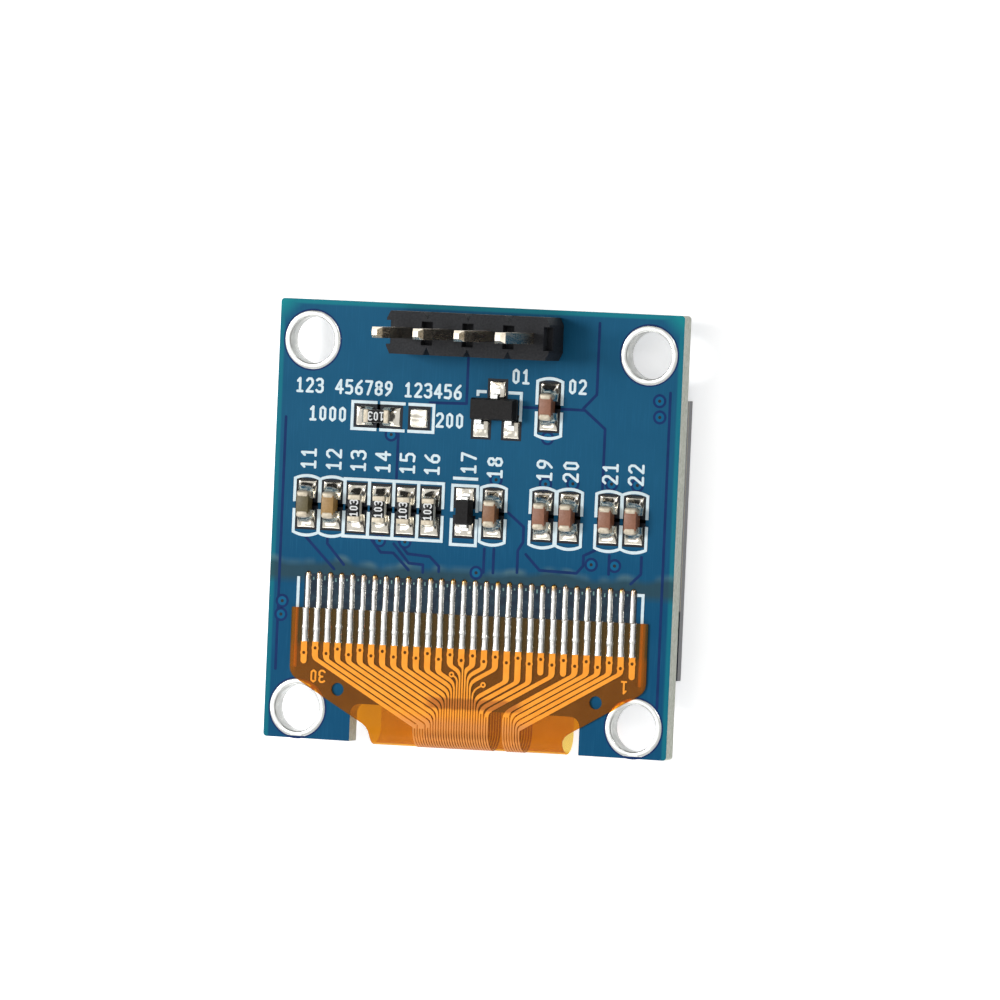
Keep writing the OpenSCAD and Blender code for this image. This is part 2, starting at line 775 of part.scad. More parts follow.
function finger_hole_y(i) = FINGER_END - HOLE_DROP - (i % 2 == 0 ? HOLE_STEP : 0);

// A finger that ends short, with a round end
module stub(i) {
    translate([finger_x(i, finger_pitch), 0, 0])
    slab(concat(
        [[finger_w / 2, FINGER_END]],
        [[-finger_w / 2, FINGER_END]],
        arc([0, FINGER_END - STUB_DROP], finger_w / 2, 180, 360, 2 * ARC_STEPS)
    ), FILM_TOP_Z, copper_t);
}

// Slits that split a power trace into its lanes
module lane_slits(i) {
    first = first_lane(i);
    top = bend_y(i) - fan_drop(i) - LANE_BEND_R / 2;
    slit = lane_pitch - lane_w;
    for (k = [1:1:TRACE_LANES[i] - 1])
        translate([lane_x(first + k) - (lane_pitch + slit) / 2, FOLD_Y - CUT, FILM_TOP_Z - CUT])
        cube([slit, top - FOLD_Y + CUT, copper_t + 2 * CUT]);
}

module trace(i) {
    ring = [finger_x(i, finger_pitch), finger_hole_y(i)];
    difference() {
        union() {
            if (TRACE_LANES[i] == 0)
                stub(i);
            else
                slab(trace_outline(i), FILM_TOP_Z, copper_t);
            translate([ring.x, ring.y, FILM_TOP_Z])
            cylinder(h = copper_t, d = FINGER_RING_D, $fn = SMALL_FN);
        }
        translate([ring.x, ring.y, FILM_TOP_Z - CUT])
        cylinder(h = copper_t + 2 * CUT, d = finger_hole_d, $fn = SMALL_FN);
        lane_slits(i);
    }
}

// A round test pad with its own lane over the fold
module test_trace(pad) {
    start = [pad.x, FAN_TOP - pad.y];
    lane = lane_x(pad.z);
    turn = [lane, start.y - abs(lane - pad.x) * tan(fan_angle)];
    difference() {
        union() {
            slab(track([start, turn, [lane, FOLD_Y]], [lane_w, lane_w], [LANE_BEND_R]),
                FILM_TOP_Z, copper_t);
            translate([start.x, start.y, FILM_TOP_Z])
            cylinder(h = copper_t, d = TEST_PAD_D, $fn = SMALL_FN);
        }
        translate([start.x, start.y, FILM_TOP_Z - CUT])
        cylinder(h = copper_t + 2 * CUT, d = TEST_HOLE_D, $fn = SMALL_FN);
    }
}

// All the lanes that cross the fold
LANES_USED = concat(
    [for (i = [0:FINGERS - 1]) for (k = [0:1:TRACE_LANES[i] - 1]) first_lane(i) + k],
    [for (pad = TEST_PADS) pad.z]
);

module flex_traces() {
    color("#f0922a")
    rotate([0, 0, flex_skew]) {
        for (i = [0:FINGERS - 1])
            trace(i);
        for (pad = TEST_PADS)
            test_trace(pad);
        for (k = LANES_USED)
            translate([lane_x(k), 0, 0])
            along_x(lane_w)
            fold_band(FOLD_R + copper_t, copper_t, FOLD_Y + FAN_CLEAR / 2, BOND_END);
    }
}

// The soldered part of the film's fingers
module flex_fingers() {
    color("#dcdedb")
    rotate([0, 0, flex_skew])
    for (i = [0:FINGERS - 1])
        translate([finger_x(i, finger_pitch), 0, 0])
        bar_y(finger_section(finger_w, FILM_TOP_Z, finger_solder_h), FINGER_END, finger_l);
}

// ----------------------------------------------------------------- header

// Plan of the housing: V notches between the sections, and half a notch at
// each corner, where it was snapped off a strip
function housing_outline() =
    let (half = housing_w / 2, in = half - housing_notch, v = housing_notch * NOTCH_RATIO)
    concat(
        [[HOUSING_L, -in], [HOUSING_L, in], [HOUSING_L - v, half]],
        [for (i = [pin_count - 1:-1:1]) each [
            [i * pin_pitch + v, half], [i * pin_pitch, in], [i * pin_pitch - v, half]
        ]],
        [[v, half], [0, in], [0, -in], [v, -half]],
        [for (i = [1:pin_count - 1]) each [
            [i * pin_pitch - v, -half], [i * pin_pitch, -in], [i * pin_pitch + v, -half]
        ]],
        [[HOUSING_L - v, -half]]
    );

module header_housing() {
    color("#35363a")
    difference() {
        translate([header_x - HOUSING_L / 2, HEADER_Y, 0])
        slab(housing_outline(), PAD_Z, housing_w);
        for (i = [0:pin_count - 1])
            plate_at(pin_x(i), HEADER_Y, pin_w, pin_w, 0, HOUSING_TOP + CUT);
        for (i = [0:pin_count])
            plate_at(pin_x(i - 0.5), HEADER_Y, pocket_w, pocket_l, HOUSING_TOP - pocket_d, pocket_d + CUT);
    }
}

// Side view of a pin, tapered at both ends
function pin_profile() =
    let (half = pin_w / 2, tip = pin_w / 4, low = BOARD_Z - pin_tail_l, high = HOUSING_TOP + pin_top_l)
    [
        [-tip, low], [tip, low], [half, low + pin_tip_l], [half, high - pin_tip_l],
        [tip, high], [-tip, high], [-half, high - pin_tip_l], [-half, low + pin_tip_l]
    ];

module header_pin(i) {
    color("#c9a24a")
    translate([pin_x(i), HEADER_Y, 0])
    intersection() {
        bar_x(pin_profile(), pin_w);
        bar_y(pin_profile(), -pin_w / 2, pin_w);
    }
}

// Side of a solder cone: a hollow curve from the pad's rim to the pin's side
function solder_cone() =
    let (rim = pin_pad_d / 2, neck = pin_w / sqrt(2) + SOLDER_SKIN)
    [for (k = [0:CONE_STEPS])
        let (u = k / CONE_STEPS)
        [neck + (rim - neck) * (1 - u) * (1 - u), LOW_PAD_Z + (CONE_TIP_Z - LOW_PAD_Z) * u]];

// Solder that fills the plated holes and climbs the pins' tails
module header_solder() {
    color("#cfd2d2")
    for (i = [0:pin_count - 1])
        translate([pin_x(i), HEADER_Y, 0])
        difference() {
            rotate_extrude()
            polygon(concat(
                [[0, TOP_Z], [pin_hole_d / 2, TOP_Z], [pin_hole_d / 2, LOW_PAD_Z]],
                solder_cone(),
                [[0, CONE_TIP_Z]]
            ));
            plate(pin_w, pin_w, 0, -CUT, TOP_Z + 2 * CUT);
        }
}

// ------------------------------------------------------------------ chips

// Places its children on the pads at a chip's place
module at_place(place) {
    translate([place.x, place.y, 0])
    rotate([0, 0, place.z])
    children();
}

// Section of a chip: a rectangle with softened edges
function chip_section(w, t) = [for (p = round_rect(w, t, w * CHIP_R_RATIO)) p + [0, PAD_Z + t / 2]];

module chip_body(t, end_l, colour) {
    color(colour)
    bar_y(
        [for (p = chip_section(chip_w - 2 * chip_end_rise, t - 2 * chip_end_rise)) p + [0, chip_end_rise]],
        end_l - chip_l / 2, chip_l - 2 * end_l
    );
}

module chip_ends(t, end_l) {
    color("#cfcabd")
    for (y = [-chip_l / 2, chip_l / 2 - end_l])
        bar_y(chip_section(chip_w, t), y, end_l);
}

// A solder pad with the fillet that climbs a metal end of height rise
module pad_and_fillet(w, under, reach, rise) {
    translate([-w / 2, -under, TOP_Z])
    cube([w, under + reach, plating_t]);
    bar_x([
        for (step = FILLET_CURVE)
            [reach * step.x, PAD_Z + rise * step.y]
    ], w * FILLET_W_RATIO);
}

module chip_pads(t) {
    for (turn = [0, 180])
        rotate([0, 0, turn])
        translate([0, chip_l / 2, 0])
        pad_and_fillet(PAD_W, PAD_UNDER, pad_reach, t * FILLET_RATIO);
}

// Pads under the leads of the two moulded packages
module lead_pad(w, reach) {
    pad_and_fillet(w, PAD_UNDER, reach, lead_t);
}

module chip_solder() {
    color("#d5d7d3") {
        for (place = CAPACITORS)
            at_place(place)
            chip_pads(capacitor_t);
        for (place = RESISTORS)
            at_place(place)
            chip_pads(resistor_t);
        for (turn = [0, 180])
            translate([DIODE_X, ROW_Y, 0])
            rotate([0, 0, turn])
            translate([0, diode_l / 2 + diode_lead_reach, 0])
            lead_pad(PAD_W, pad_reach - diode_lead_reach + (chip_l - diode_l) / 2);
        translate([TRANSISTOR_X, TRANSISTOR_Y, 0])
        for (lead = TRANSISTOR_LEADS)
            translate([lead.x, 0, 0])
            rotate([0, 0, lead.y])
            translate([0, transistor_w / 2 + lead_reach, 0])
            lead_pad(LEAD_PAD_W, LEAD_PAD_REACH);
        plate_at(SPARE_PAD_X, ADDRESS_Y, SPARE_PAD_W, PAD_W, TOP_Z, finger_solder_h);
    }
}

// ---------------------------------------------------------- small packages

// Leads of the transistor: place across, and turn
TRANSISTOR_LEADS = [[0, 0], [-lead_pitch, 180], [lead_pitch, 180]];
LEAD_PAD_W = 1;
LEAD_PAD_REACH = 0.48;
STANDOFF = 0.04;
// Height at which a lead leaves its body, and place of its foot, as shares
// of the body's height and of the lead's reach
LEAD_LINE = 0.5;
LEAD_FOOT = 0.4;

// Side view of a moulded body: both halves taper away from the lead line
function moulded_profile(w, t) =
    let (half = w / 2, low = PAD_Z + STANDOFF, middle = low + t * LEAD_LINE)
    [
        [draft / 2 - half, low], [half - draft / 2, low], [half, middle],
        [half - draft, low + t], [draft - half, low + t], [-half, middle]
    ];

module moulded_body(l, w, t) {
    color("#26272a")
    intersection() {
        bar_x(moulded_profile(w, t), l);
        bar_y(moulded_profile(l, t), -w / 2, w);
    }
}

// A lead that leaves the body at y, steps down to the pad and turns out flat
module gull_lead(y, reach, t, w) {
    high = PAD_Z + STANDOFF + t * LEAD_LINE;
    foot = y + reach * LEAD_FOOT;
    color("#c8cac6")
    bar_x([
        [y, high - lead_t / 2], [foot - lead_t, high - lead_t / 2], [foot - lead_t / 2, PAD_Z],
        [y + reach, PAD_Z], [y + reach, PAD_Z + lead_t], [foot + lead_t / 2, PAD_Z + lead_t],
        [foot, high + lead_t / 2], [y, high + lead_t / 2]
    ], w);
}

module diode_body() {
    translate([DIODE_X + DIODE_SHIFT, ROW_Y, 0])
    rotate([0, 0, 90])
    moulded_body(diode_l, diode_w, diode_t);
}

module diode_leads() {
    translate([DIODE_X + DIODE_SHIFT, ROW_Y, 0])
    for (turn = [0, 180])
        rotate([0, 0, turn])
        gull_lead(diode_l / 2, diode_lead_reach, diode_t, lead_w);
}

module transistor_body() {
    translate([TRANSISTOR_X, TRANSISTOR_Y, 0])
    moulded_body(transistor_l, transistor_w, transistor_t);
}

module transistor_leads() {
    translate([TRANSISTOR_X, TRANSISTOR_Y, 0])
    for (lead = TRANSISTOR_LEADS)
        translate([lead.x, 0, 0])
        rotate([0, 0, lead.y])
        gull_lead(transistor_w / 2, lead_reach, transistor_t, lead_w);
}

// -------------------------------------------------------------- white print

// A frame round a chip's place: two side lines with a gap, and two ends
// that are straight or arched
module chip_frame(x, y, w, h, arch) {
    side = h / 2 - (arch ? ARCH_RISE : 0);
    translate([x, y, 0])
    for (turn = [0, 180])
        rotate([0, 0, turn]) {
            for (across = [-w / 2, w / 2])
                translate([across - line_w / 2, SIDE_GAP / 2, TOP_Z])
                cube([line_w, side - SIDE_GAP / 2, print_t]);
            slab(end_line(w, side, arch ? ARCH_RISE : 0), TOP_Z, print_t);
        }
}

// The end of a frame, as a band that rises in the middle
function end_line(w, y, rise) =
    let (
        half = (w + line_w) / 2,
        steps = rise > 0 ? 8 : 1,
        crown = [for (k = [0:steps])
            let (u = 2 * k / steps - 1) [u * half, y + rise * (1 - u * u)]]
    )
    concat(
        [for (p = crown) p - [0, line_w / 2]],
        [for (k = [steps:-1:0]) crown[k] + [0, line_w / 2]]
    );

module line_x(x0, x1, y) {
    translate([x0, y - line_w / 2, TOP_Z])
    cube([x1 - x0, line_w, print_t]);
}

module line_y(x, y0, y1) {
    translate([x - line_w / 2, y0, TOP_Z])
    cube([line_w, y1 - y0, print_t]);
}

// Frame round the address resistor and the spare pad beside it
module address_frame() {
    left = ADDRESS_X - chip_l / 2 - pad_reach - PRINT_GAP;
    right = SPARE_PAD_X + SPARE_PAD_W / 2 + 1.5 * PRINT_GAP;
    low = ADDRESS_Y - PAD_W / 2 - PRINT_GAP;
    high = ADDRESS_Y + PAD_W / 2 + PRINT_GAP;
    split = SPARE_PAD_X - SPARE_PAD_W / 2 - PRINT_GAP;
    for (y = [low, high]) {
        line_x(left, ADDRESS_X - LINE_GAP / 2, y);
        line_x(ADDRESS_X + LINE_GAP / 2, split - LINE_GAP / 2, y);
        line_x(split + LINE_GAP / 2, right, y);
    }
    for (x = [left, right])
        line_y(x, low - line_w / 2, high + line_w / 2);
}

// Corner lines beside the transistor's upper lead: a short leg at the left,
// and a long one down the body's right side
module transistor_lines() {
    high = TRANSISTOR_Y + transistor_w / 2 + 2 * line_w;
    left = TRANSISTOR_X - transistor_l / 2 + line_w;
    right = TRANSISTOR_X + (transistor_l + line_w) / 2;
    line_x(left, TRANSISTOR_X - LEAD_PAD_W / 2 - line_w, high);
    line_x(TRANSISTOR_X + LEAD_PAD_W / 2 + line_w, right + line_w / 2, high);
    line_y(left, high - 1.5 * line_w, high + line_w / 2);
    line_y(right, TRANSISTOR_Y - transistor_w / 2, high + line_w / 2);
}

// Bracket that marks where the flexible circuit's end goes
module flex_bracket() {
    half = ARM_W / 2 - BRACKET_INSET;
    top = BOARD_FINGER_END - BRACKET_INSET;
    low = FLEX_END - arm_side_l + BRACKET_INSET;
    line_y(-half, low, top);
    line_y(half, low, top);
    line_x(half - BRACKET_INSET, half + line_w / 2, top);
}

module silkscreen() {
    color("#dfeef2") {
        for (x = CAPACITOR_X)
            chip_frame(x, ROW_Y - FRAME_DROP, CELL_W, FRAME_H + 2 * ARCH_EXTRA, true);
        for (x = RESISTOR_X)
            chip_frame(x, ROW_Y - FRAME_DROP, CELL_W, FRAME_H, false);
        chip_frame(DIODE_X, ROW_Y - 2 * FRAME_DROP, CELL_W, FRAME_H + FRAME_DROP, false);
        line_x(DIODE_X - CELL_W / 2, DIODE_X + CELL_W / 2, ROW_Y + FRAME_H / 2 + 1.5 * line_w);
        chip_frame(SUPPLY_X, SUPPLY_Y - FRAME_DROP, CELL_W, FRAME_H + 2 * ARCH_EXTRA, true);
        address_frame();
        transistor_lines();
        flex_bracket();
    }
}

// --------------------------------------------------------------- assembly

circuit_board();
for (i = [1:len(HOLES)])
    mount_eyelet(HOLES[i - 1]);
header_pads();
board_fingers();
silkscreen();
chip_solder();
panel_glass();
cap_glass();
polariser();
emitter_layer();
seal_frame();
desiccant();
driver_chip();
chip_sealant();
mount_tape();
flex_film();
flex_traces();
flex_fingers();
header_housing();
header_solder();
for (i = [1:pin_count])
    header_pin(i - 1);
for (i = [1:len(CAPACITORS)]) {
    at_place(CAPACITORS[i - 1]) chip_body(capacitor_t, capacitor_end_l, "#8f6045");
    at_place(CAPACITORS[i - 1]) chip_ends(capacitor_t, capacitor_end_l);
}
for (i = [1:len(RESISTORS)]) {
    at_place(RESISTORS[i - 1]) chip_body(resistor_t, chip_end_l, "#2a2b2e");
    at_place(RESISTORS[i - 1]) chip_ends(resistor_t, chip_end_l);
}
diode_body();
diode_leads();
transistor_body();
transistor_leads();
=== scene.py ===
"""Looks of the small OLED module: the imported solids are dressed, and solder, print and tracks are built on them.

Sizes are in millimetres and turn to metres in the last step of each mesh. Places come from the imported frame.
"""

import json
import logging
import math
from collections.abc import Callable, Iterable, Sequence
from dataclasses import dataclass, field
from enum import Enum

import bmesh
import bpy
from mathutils import Matrix, Vector, noise

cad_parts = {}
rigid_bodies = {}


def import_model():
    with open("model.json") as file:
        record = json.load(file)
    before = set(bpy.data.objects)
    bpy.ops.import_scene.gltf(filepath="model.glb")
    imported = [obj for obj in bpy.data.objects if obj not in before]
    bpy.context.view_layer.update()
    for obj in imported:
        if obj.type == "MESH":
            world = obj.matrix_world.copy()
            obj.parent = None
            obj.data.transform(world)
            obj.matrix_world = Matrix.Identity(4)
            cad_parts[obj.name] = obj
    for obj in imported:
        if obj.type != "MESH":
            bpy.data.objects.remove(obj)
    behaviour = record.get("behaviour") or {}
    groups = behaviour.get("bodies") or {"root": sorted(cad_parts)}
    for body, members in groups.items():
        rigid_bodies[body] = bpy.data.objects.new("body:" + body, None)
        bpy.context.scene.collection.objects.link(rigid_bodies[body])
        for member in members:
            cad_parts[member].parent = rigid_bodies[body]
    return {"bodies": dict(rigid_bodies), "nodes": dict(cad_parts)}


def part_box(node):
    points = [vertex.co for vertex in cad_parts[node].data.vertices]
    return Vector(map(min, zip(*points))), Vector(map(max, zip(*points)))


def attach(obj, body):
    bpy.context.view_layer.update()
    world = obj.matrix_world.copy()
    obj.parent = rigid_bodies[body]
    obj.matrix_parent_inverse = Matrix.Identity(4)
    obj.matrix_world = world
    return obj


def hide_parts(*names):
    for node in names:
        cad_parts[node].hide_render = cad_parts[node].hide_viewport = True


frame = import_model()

log = logging.getLogger("oled_module")
MM = 0.001
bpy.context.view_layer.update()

# How far a thin print or opening stands off the board, so that nothing lies in the same plane
SKIN = 0.006
# Difference in height of printed strokes that cross
STAGGER = 0.0004
# Turn of the hand-placed flexible circuit about the board's centre
FLEX_TURN = math.radians(0.45)
FINGER_COUNT = 30

Point = tuple[float, float]


# ---------------------------------------------------------------- frame and meshes


@dataclass(frozen=True)
class Box:
    """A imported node's box in millimetres."""

    low: Vector
    high: Vector

    @classmethod
    def of(cls, node: str) -> "Box":
        """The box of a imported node."""
        low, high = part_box(node)
        return cls(low / MM, high / MM)

    @property
    def centre(self) -> Vector:
        """The middle of the box."""
        return (self.low + self.high) / 2

    @property
    def size(self) -> Vector:
        """The box's three sides."""
        return self.high - self.low


BOARD = Box.of("circuit_board")
FACE_Z = BOARD.high.z


@dataclass
class Shape:
    """Points and faces of a mesh in the making, in millimetres."""

    points: list[Vector] = field(default_factory=list)
    faces: list[tuple[int, ...]] = field(default_factory=list)

    def add(self, points: Iterable[Vector], faces: Iterable[Sequence[int]]) -> None:
        """Adds points, and faces that count from the first of them.

        Args:
            points: The new points.
            faces: Faces by the new points' numbers.
        """
        first = len(self.points)
        self.points.extend(Vector(p) for p in points)
        self.faces.extend(tuple(first + k for k in face) for face in faces)

    def patch(self, surface: Callable[[float, float], Vector], across: int, along: int) -> None:
        """Adds a closed lump: a grid over u and v from -1 to 1, shut below by one face.

        Args:
            surface: Gives the point at u and v.
            across: Steps in u.
            along: Steps in v.
        """
        grid = [
            surface(2 * i / across - 1, 2 * j / along - 1)
            for j in range(along + 1)
            for i in range(across + 1)
        ]
        row = across + 1
        faces = [
            (j * row + i, j * row + i + 1, (j + 1) * row + i + 1, (j + 1) * row + i)
            for j in range(along)
            for i in range(across)
        ]
        rim = [i for i in range(across)]
        rim += [j * row + across for j in range(along)]
        rim += [along * row + i for i in range(across, 0, -1)]
        rim += [j * row for j in range(along, 0, -1)]
        self.add(grid, [*faces, tuple(reversed(rim))])

    def slab(self, outline: Sequence[Point], z: float, thick: float) -> None:
        """Adds a flat plate.

        Args:
            outline: Its corners, counter-clockwise.
            z: Height of its underside.
            thick: Its thickness.
        """
        n = len(outline)
        points = [Vector((x, y, h)) for h in (z, z + thick) for x, y in outline]
        sides = [(k, (k + 1) % n, n + (k + 1) % n, n + k) for k in range(n)]
        self.add(points, [tuple(range(n - 1, -1, -1)), tuple(range(n, 2 * n)), *sides])

    def disc(self, centre: Point, radius: float, z: float, thick: float, steps: int = 16) -> None:
        """Adds a flat round plate.

        Args:
            centre: Its middle.
            radius: Its radius.
            z: Height of its underside.
            thick: Its thickness.
            steps: Sides of the circle.
        """
        angles = [2 * math.pi * k / steps for k in range(steps)]
        rim = [(centre[0] + radius * math.cos(a), centre[1] + radius * math.sin(a)) for a in angles]
        self.slab(rim, z, thick)

    def annulus(self, centre: Point, inner: float, outer: float, z: float, thick: float, steps: int = 64) -> None:
        """Adds a flat ring.

        Args:
            centre: Its middle.
            inner: Radius of its hole.
            outer: Its outer radius.
            z: Height of its underside.
            thick: Its thickness.
            steps: Sides of the circle.
        """
        section = [(outer, z), (outer, z + thick), (inner, z + thick), (inner, z)]
        points = [
            Vector((centre[0] + r * math.cos(a), centre[1] + r * math.sin(a), h))
            for a in (2 * math.pi * k / steps for k in range(steps))
            for r, h in section
        ]
        faces = [
            (4 * k + j, 4 * ((k + 1) % steps) + j, 4 * ((k + 1) % steps) + (j + 1) % 4, 4 * k + (j + 1) % 4)
            for k in range(steps)
            for j in range(4)
        ]
        self.add(points, faces)

    def stroke(self, path: Sequence[Point], width: float, z: float, thick: float) -> None:
        """Adds a drawn line with round ends and corners.

        Args:
            path: The line's points.
            width: Its width.
            z: Height of its underside.
            thick: Its thickness.
        """
        line = [Vector(p[:2]) for p in path]
        # Plates that overlap get tops at slightly different heights
        for k, point in enumerate(line):
            self.disc(point.to_tuple(), width / 2, z, thick + STAGGER * (k % 5))
        for k, (start, end) in enumerate(zip(line, line[1:])):
            side = Vector((end.y - start.y, start.x - end.x)).normalized() * width / 2
            corners = [start + side, end + side, end - side, start - side]
            self.slab([c.to_tuple() for c in corners], z, thick + STAGGER * (k % 5 + 5))

    def block(self, centre: Vector, size: Vector, radius: float, steps: int = 3) -> None:
        """Adds a block with rounded edges.

        Args:
            centre: Its middle.
            size: Its three sides.
            radius: Radius of its edges.
            steps: Segments of each rounding.
        """
        work = bmesh.new()
        bmesh.ops.create_cube(work, size=1.0)
        bmesh.ops.scale(work, vec=size, verts=work.verts)
        bmesh.ops.bevel(
            work, geom=list(work.edges), offset=radius, offset_type="OFFSET",
            segments=steps, profile=0.5, affect="EDGES", clamp_overlap=True,
        )
        bmesh.ops.translate(work, vec=centre, verts=work.verts)
        work.verts.index_update()
        self.add([v.co.copy() for v in work.verts], [[v.index for v in f.verts] for f in work.faces])
        work.free()

    def turned(self, angle: float) -> "Shape":
        """The shape turned about the board's centre."""
        turn = Matrix.Rotation(angle, 3, "Z")
        return Shape([turn @ p for p in self.points], list(self.faces))


@dataclass
class Piece:
    """A piece of the scene that rides on the module's one body."""

    name: str
    shape: Shape
    finish: "Finish"
    slot: str
    stands_for: Sequence[str] = ()
    smooth: bool = True

    def build(self) -> bpy.types.Object:
        """Makes the object, dresses it and ties it to the frame.

        Returns:
            The finished object.
        """
        mesh = bpy.data.meshes.new(self.name)
        mesh.from_pydata([p * MM for p in self.shape.points], [], self.shape.faces)
        mesh.validate()
        mesh.materials.append(self.finish.material())
        if self.smooth:
            mesh.shade_smooth()
            mesh.set_sharp_from_angle(angle=math.radians(50))
        thing = bpy.data.objects.new(self.name, mesh)
        bpy.context.scene.collection.objects.link(thing)
        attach(thing, "root" if "root" in frame["bodies"] else next(iter(frame["bodies"])))
        if self.stands_for:
            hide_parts(*self.stands_for)
        log.info("%s: %d faces", self.name, len(mesh.polygons))
        return thing


def ripple(x: float, y: float, seed: float, size: float) -> float:
    """Smooth random waves from -1 to 1 over the board's face.

    Args:
        x: Place across.
        y: Place along.
        seed: Picks the pattern.
        size: Length of a wave in millimetres.

    Returns:
        The height of the wave at that place.
    """
    return noise.noise(Vector((x / size, y / size, seed * 7.3)))


def smooth_step(low: float, high: float, value: float) -> float:
    """Runs smoothly from 0 at low to 1 at high.

    Args:
        low: Where it leaves 0.
        high: Where it reaches 1.
        value: The place to read.

    Returns:
        The share at that place.
    """
    t = min(1.0, max(0.0, (value - low) / (high - low)))
    return t * t * (3 - 2 * t)


# ----------------------------------------------------------------------- finishes


def linear(colour: str) -> tuple[float, float, float, float]:
    """Turns an sRGB hex colour to linear light.

    Args:
        colour: Six hex digits after a hash.

    Returns:
        Red, green, blue and an alpha of 1.
    """
    parts = [int(colour[k : k + 2], 16) / 255 for k in (1, 3, 5)]
    light = [c / 12.92 if c <= 0.04045 else ((c + 0.055) / 1.055) ** 2.4 for c in parts]
    return (*light, 1.0)


def add(
    tree: bpy.types.NodeTree, kind: str, inputs: dict[str | int, object] | None = None, **settings: object
) -> bpy.types.Node:
    """Adds a node with its settings and links.

    Args:
        tree: The tree that gets the node.
        kind: The node's type.
        inputs: A value or another node's output for each named or numbered input.
        settings: The node's own settings.

    Returns:
        The new node.
    """
    made = tree.nodes.new(kind)
    for name, value in settings.items():
        setattr(made, name, value)
    for name, value in (inputs or {}).items():
        if isinstance(value, bpy.types.NodeSocket):
            tree.links.new(value, made.inputs[name])
        else:
            made.inputs[name].default_value = value
    return made


@dataclass(frozen=True)
class Finish:
    """A finish with a grain: two tones, two roughnesses and a bump, all from one noise of a real size."""

    name: str
    tone: str
    second_tone: str
    grain: float
    rough: tuple[float, float] = (0.4, 0.5)
    metallic: float = 0.0
    bump: float = 0.0
    ior: float = 1.5
    specular: float = 0.5
    coat: float = 0.0
    stretch: tuple[float, float, float] = (1.0, 1.0, 1.0)
    detail: float = 3.0

    def material(self) -> bpy.types.Material:
        """The material, made on first use.

        Returns:
            The node material of this finish.
        """
        found = bpy.data.materials.get(self.name)
        if found:
            return found
        made = bpy.data.materials.new(self.name)
        made.use_nodes = True
        tree = made.node_tree
        tree.nodes.clear()
        out = add(tree, "ShaderNodeOutputMaterial")
        tree.links.new(self.surface(tree), out.inputs["Surface"])
        return made

    def place(self, tree: bpy.types.NodeTree) -> bpy.types.NodeSocket:
        """The place on the object in millimetres."""
        where = add(tree, "ShaderNodeTexCoord")
        scaled = add(tree, "ShaderNodeVectorMath", {0: where.outputs["Object"], "Scale": 1 / MM}, operation="SCALE")
        return scaled.outputs["Vector"]

    def grains(self, tree: bpy.types.NodeTree) -> bpy.types.NodeSocket:
        """Noise from 0 to 1 whose features are one grain across."""
        spread = add(
            tree, "ShaderNodeVectorMath", {0: self.place(tree), 1: self.stretch}, operation="MULTIPLY"
        )
        made = add(
            tree, "ShaderNodeTexNoise",
            {"Vector": spread.outputs["Vector"], "Scale": 1 / self.grain, "Detail": self.detail, "Roughness": 0.55},
        )
        return made.outputs["Fac"]

    def colour(self, tree: bpy.types.NodeTree, grains: bpy.types.NodeSocket) -> bpy.types.NodeSocket:
        """The colour over the surface."""
        made = add(tree, "ShaderNodeValToRGB", {"Fac": grains})
        low, high = made.color_ramp.elements
        low.position, high.position = 0.35, 0.65
        low.color, high.color = linear(self.tone), linear(self.second_tone)
        return made.outputs["Color"]

    def surface(self, tree: bpy.types.NodeTree) -> bpy.types.NodeSocket:
        """The shader of the surface.

        Args:
            tree: The material's tree.

        Returns:
            The shader's output.
        """
        grains = self.grains(tree)
        rough = add(
            tree, "ShaderNodeMapRange",
            {"Value": grains, "From Min": 0.3, "From Max": 0.7, "To Min": self.rough[0], "To Max": self.rough[1]},
        )
        shader = add(
            tree, "ShaderNodeBsdfPrincipled",
            {
                "Base Color": self.colour(tree, grains),
                "Roughness": rough.outputs["Result"],
                "Metallic": self.metallic,
                "Specular IOR Level": self.specular,
                "Coat Weight": self.coat,
            },
        )
        if not self.metallic:
            shader.inputs["IOR"].default_value = self.ior
        if self.bump:
            relief = add(tree, "ShaderNodeBump", {"Height": grains, "Strength": 1.0, "Distance": self.bump * MM})
            tree.links.new(relief.outputs["Normal"], shader.inputs["Normal"])
        return shader.outputs["BSDF"]


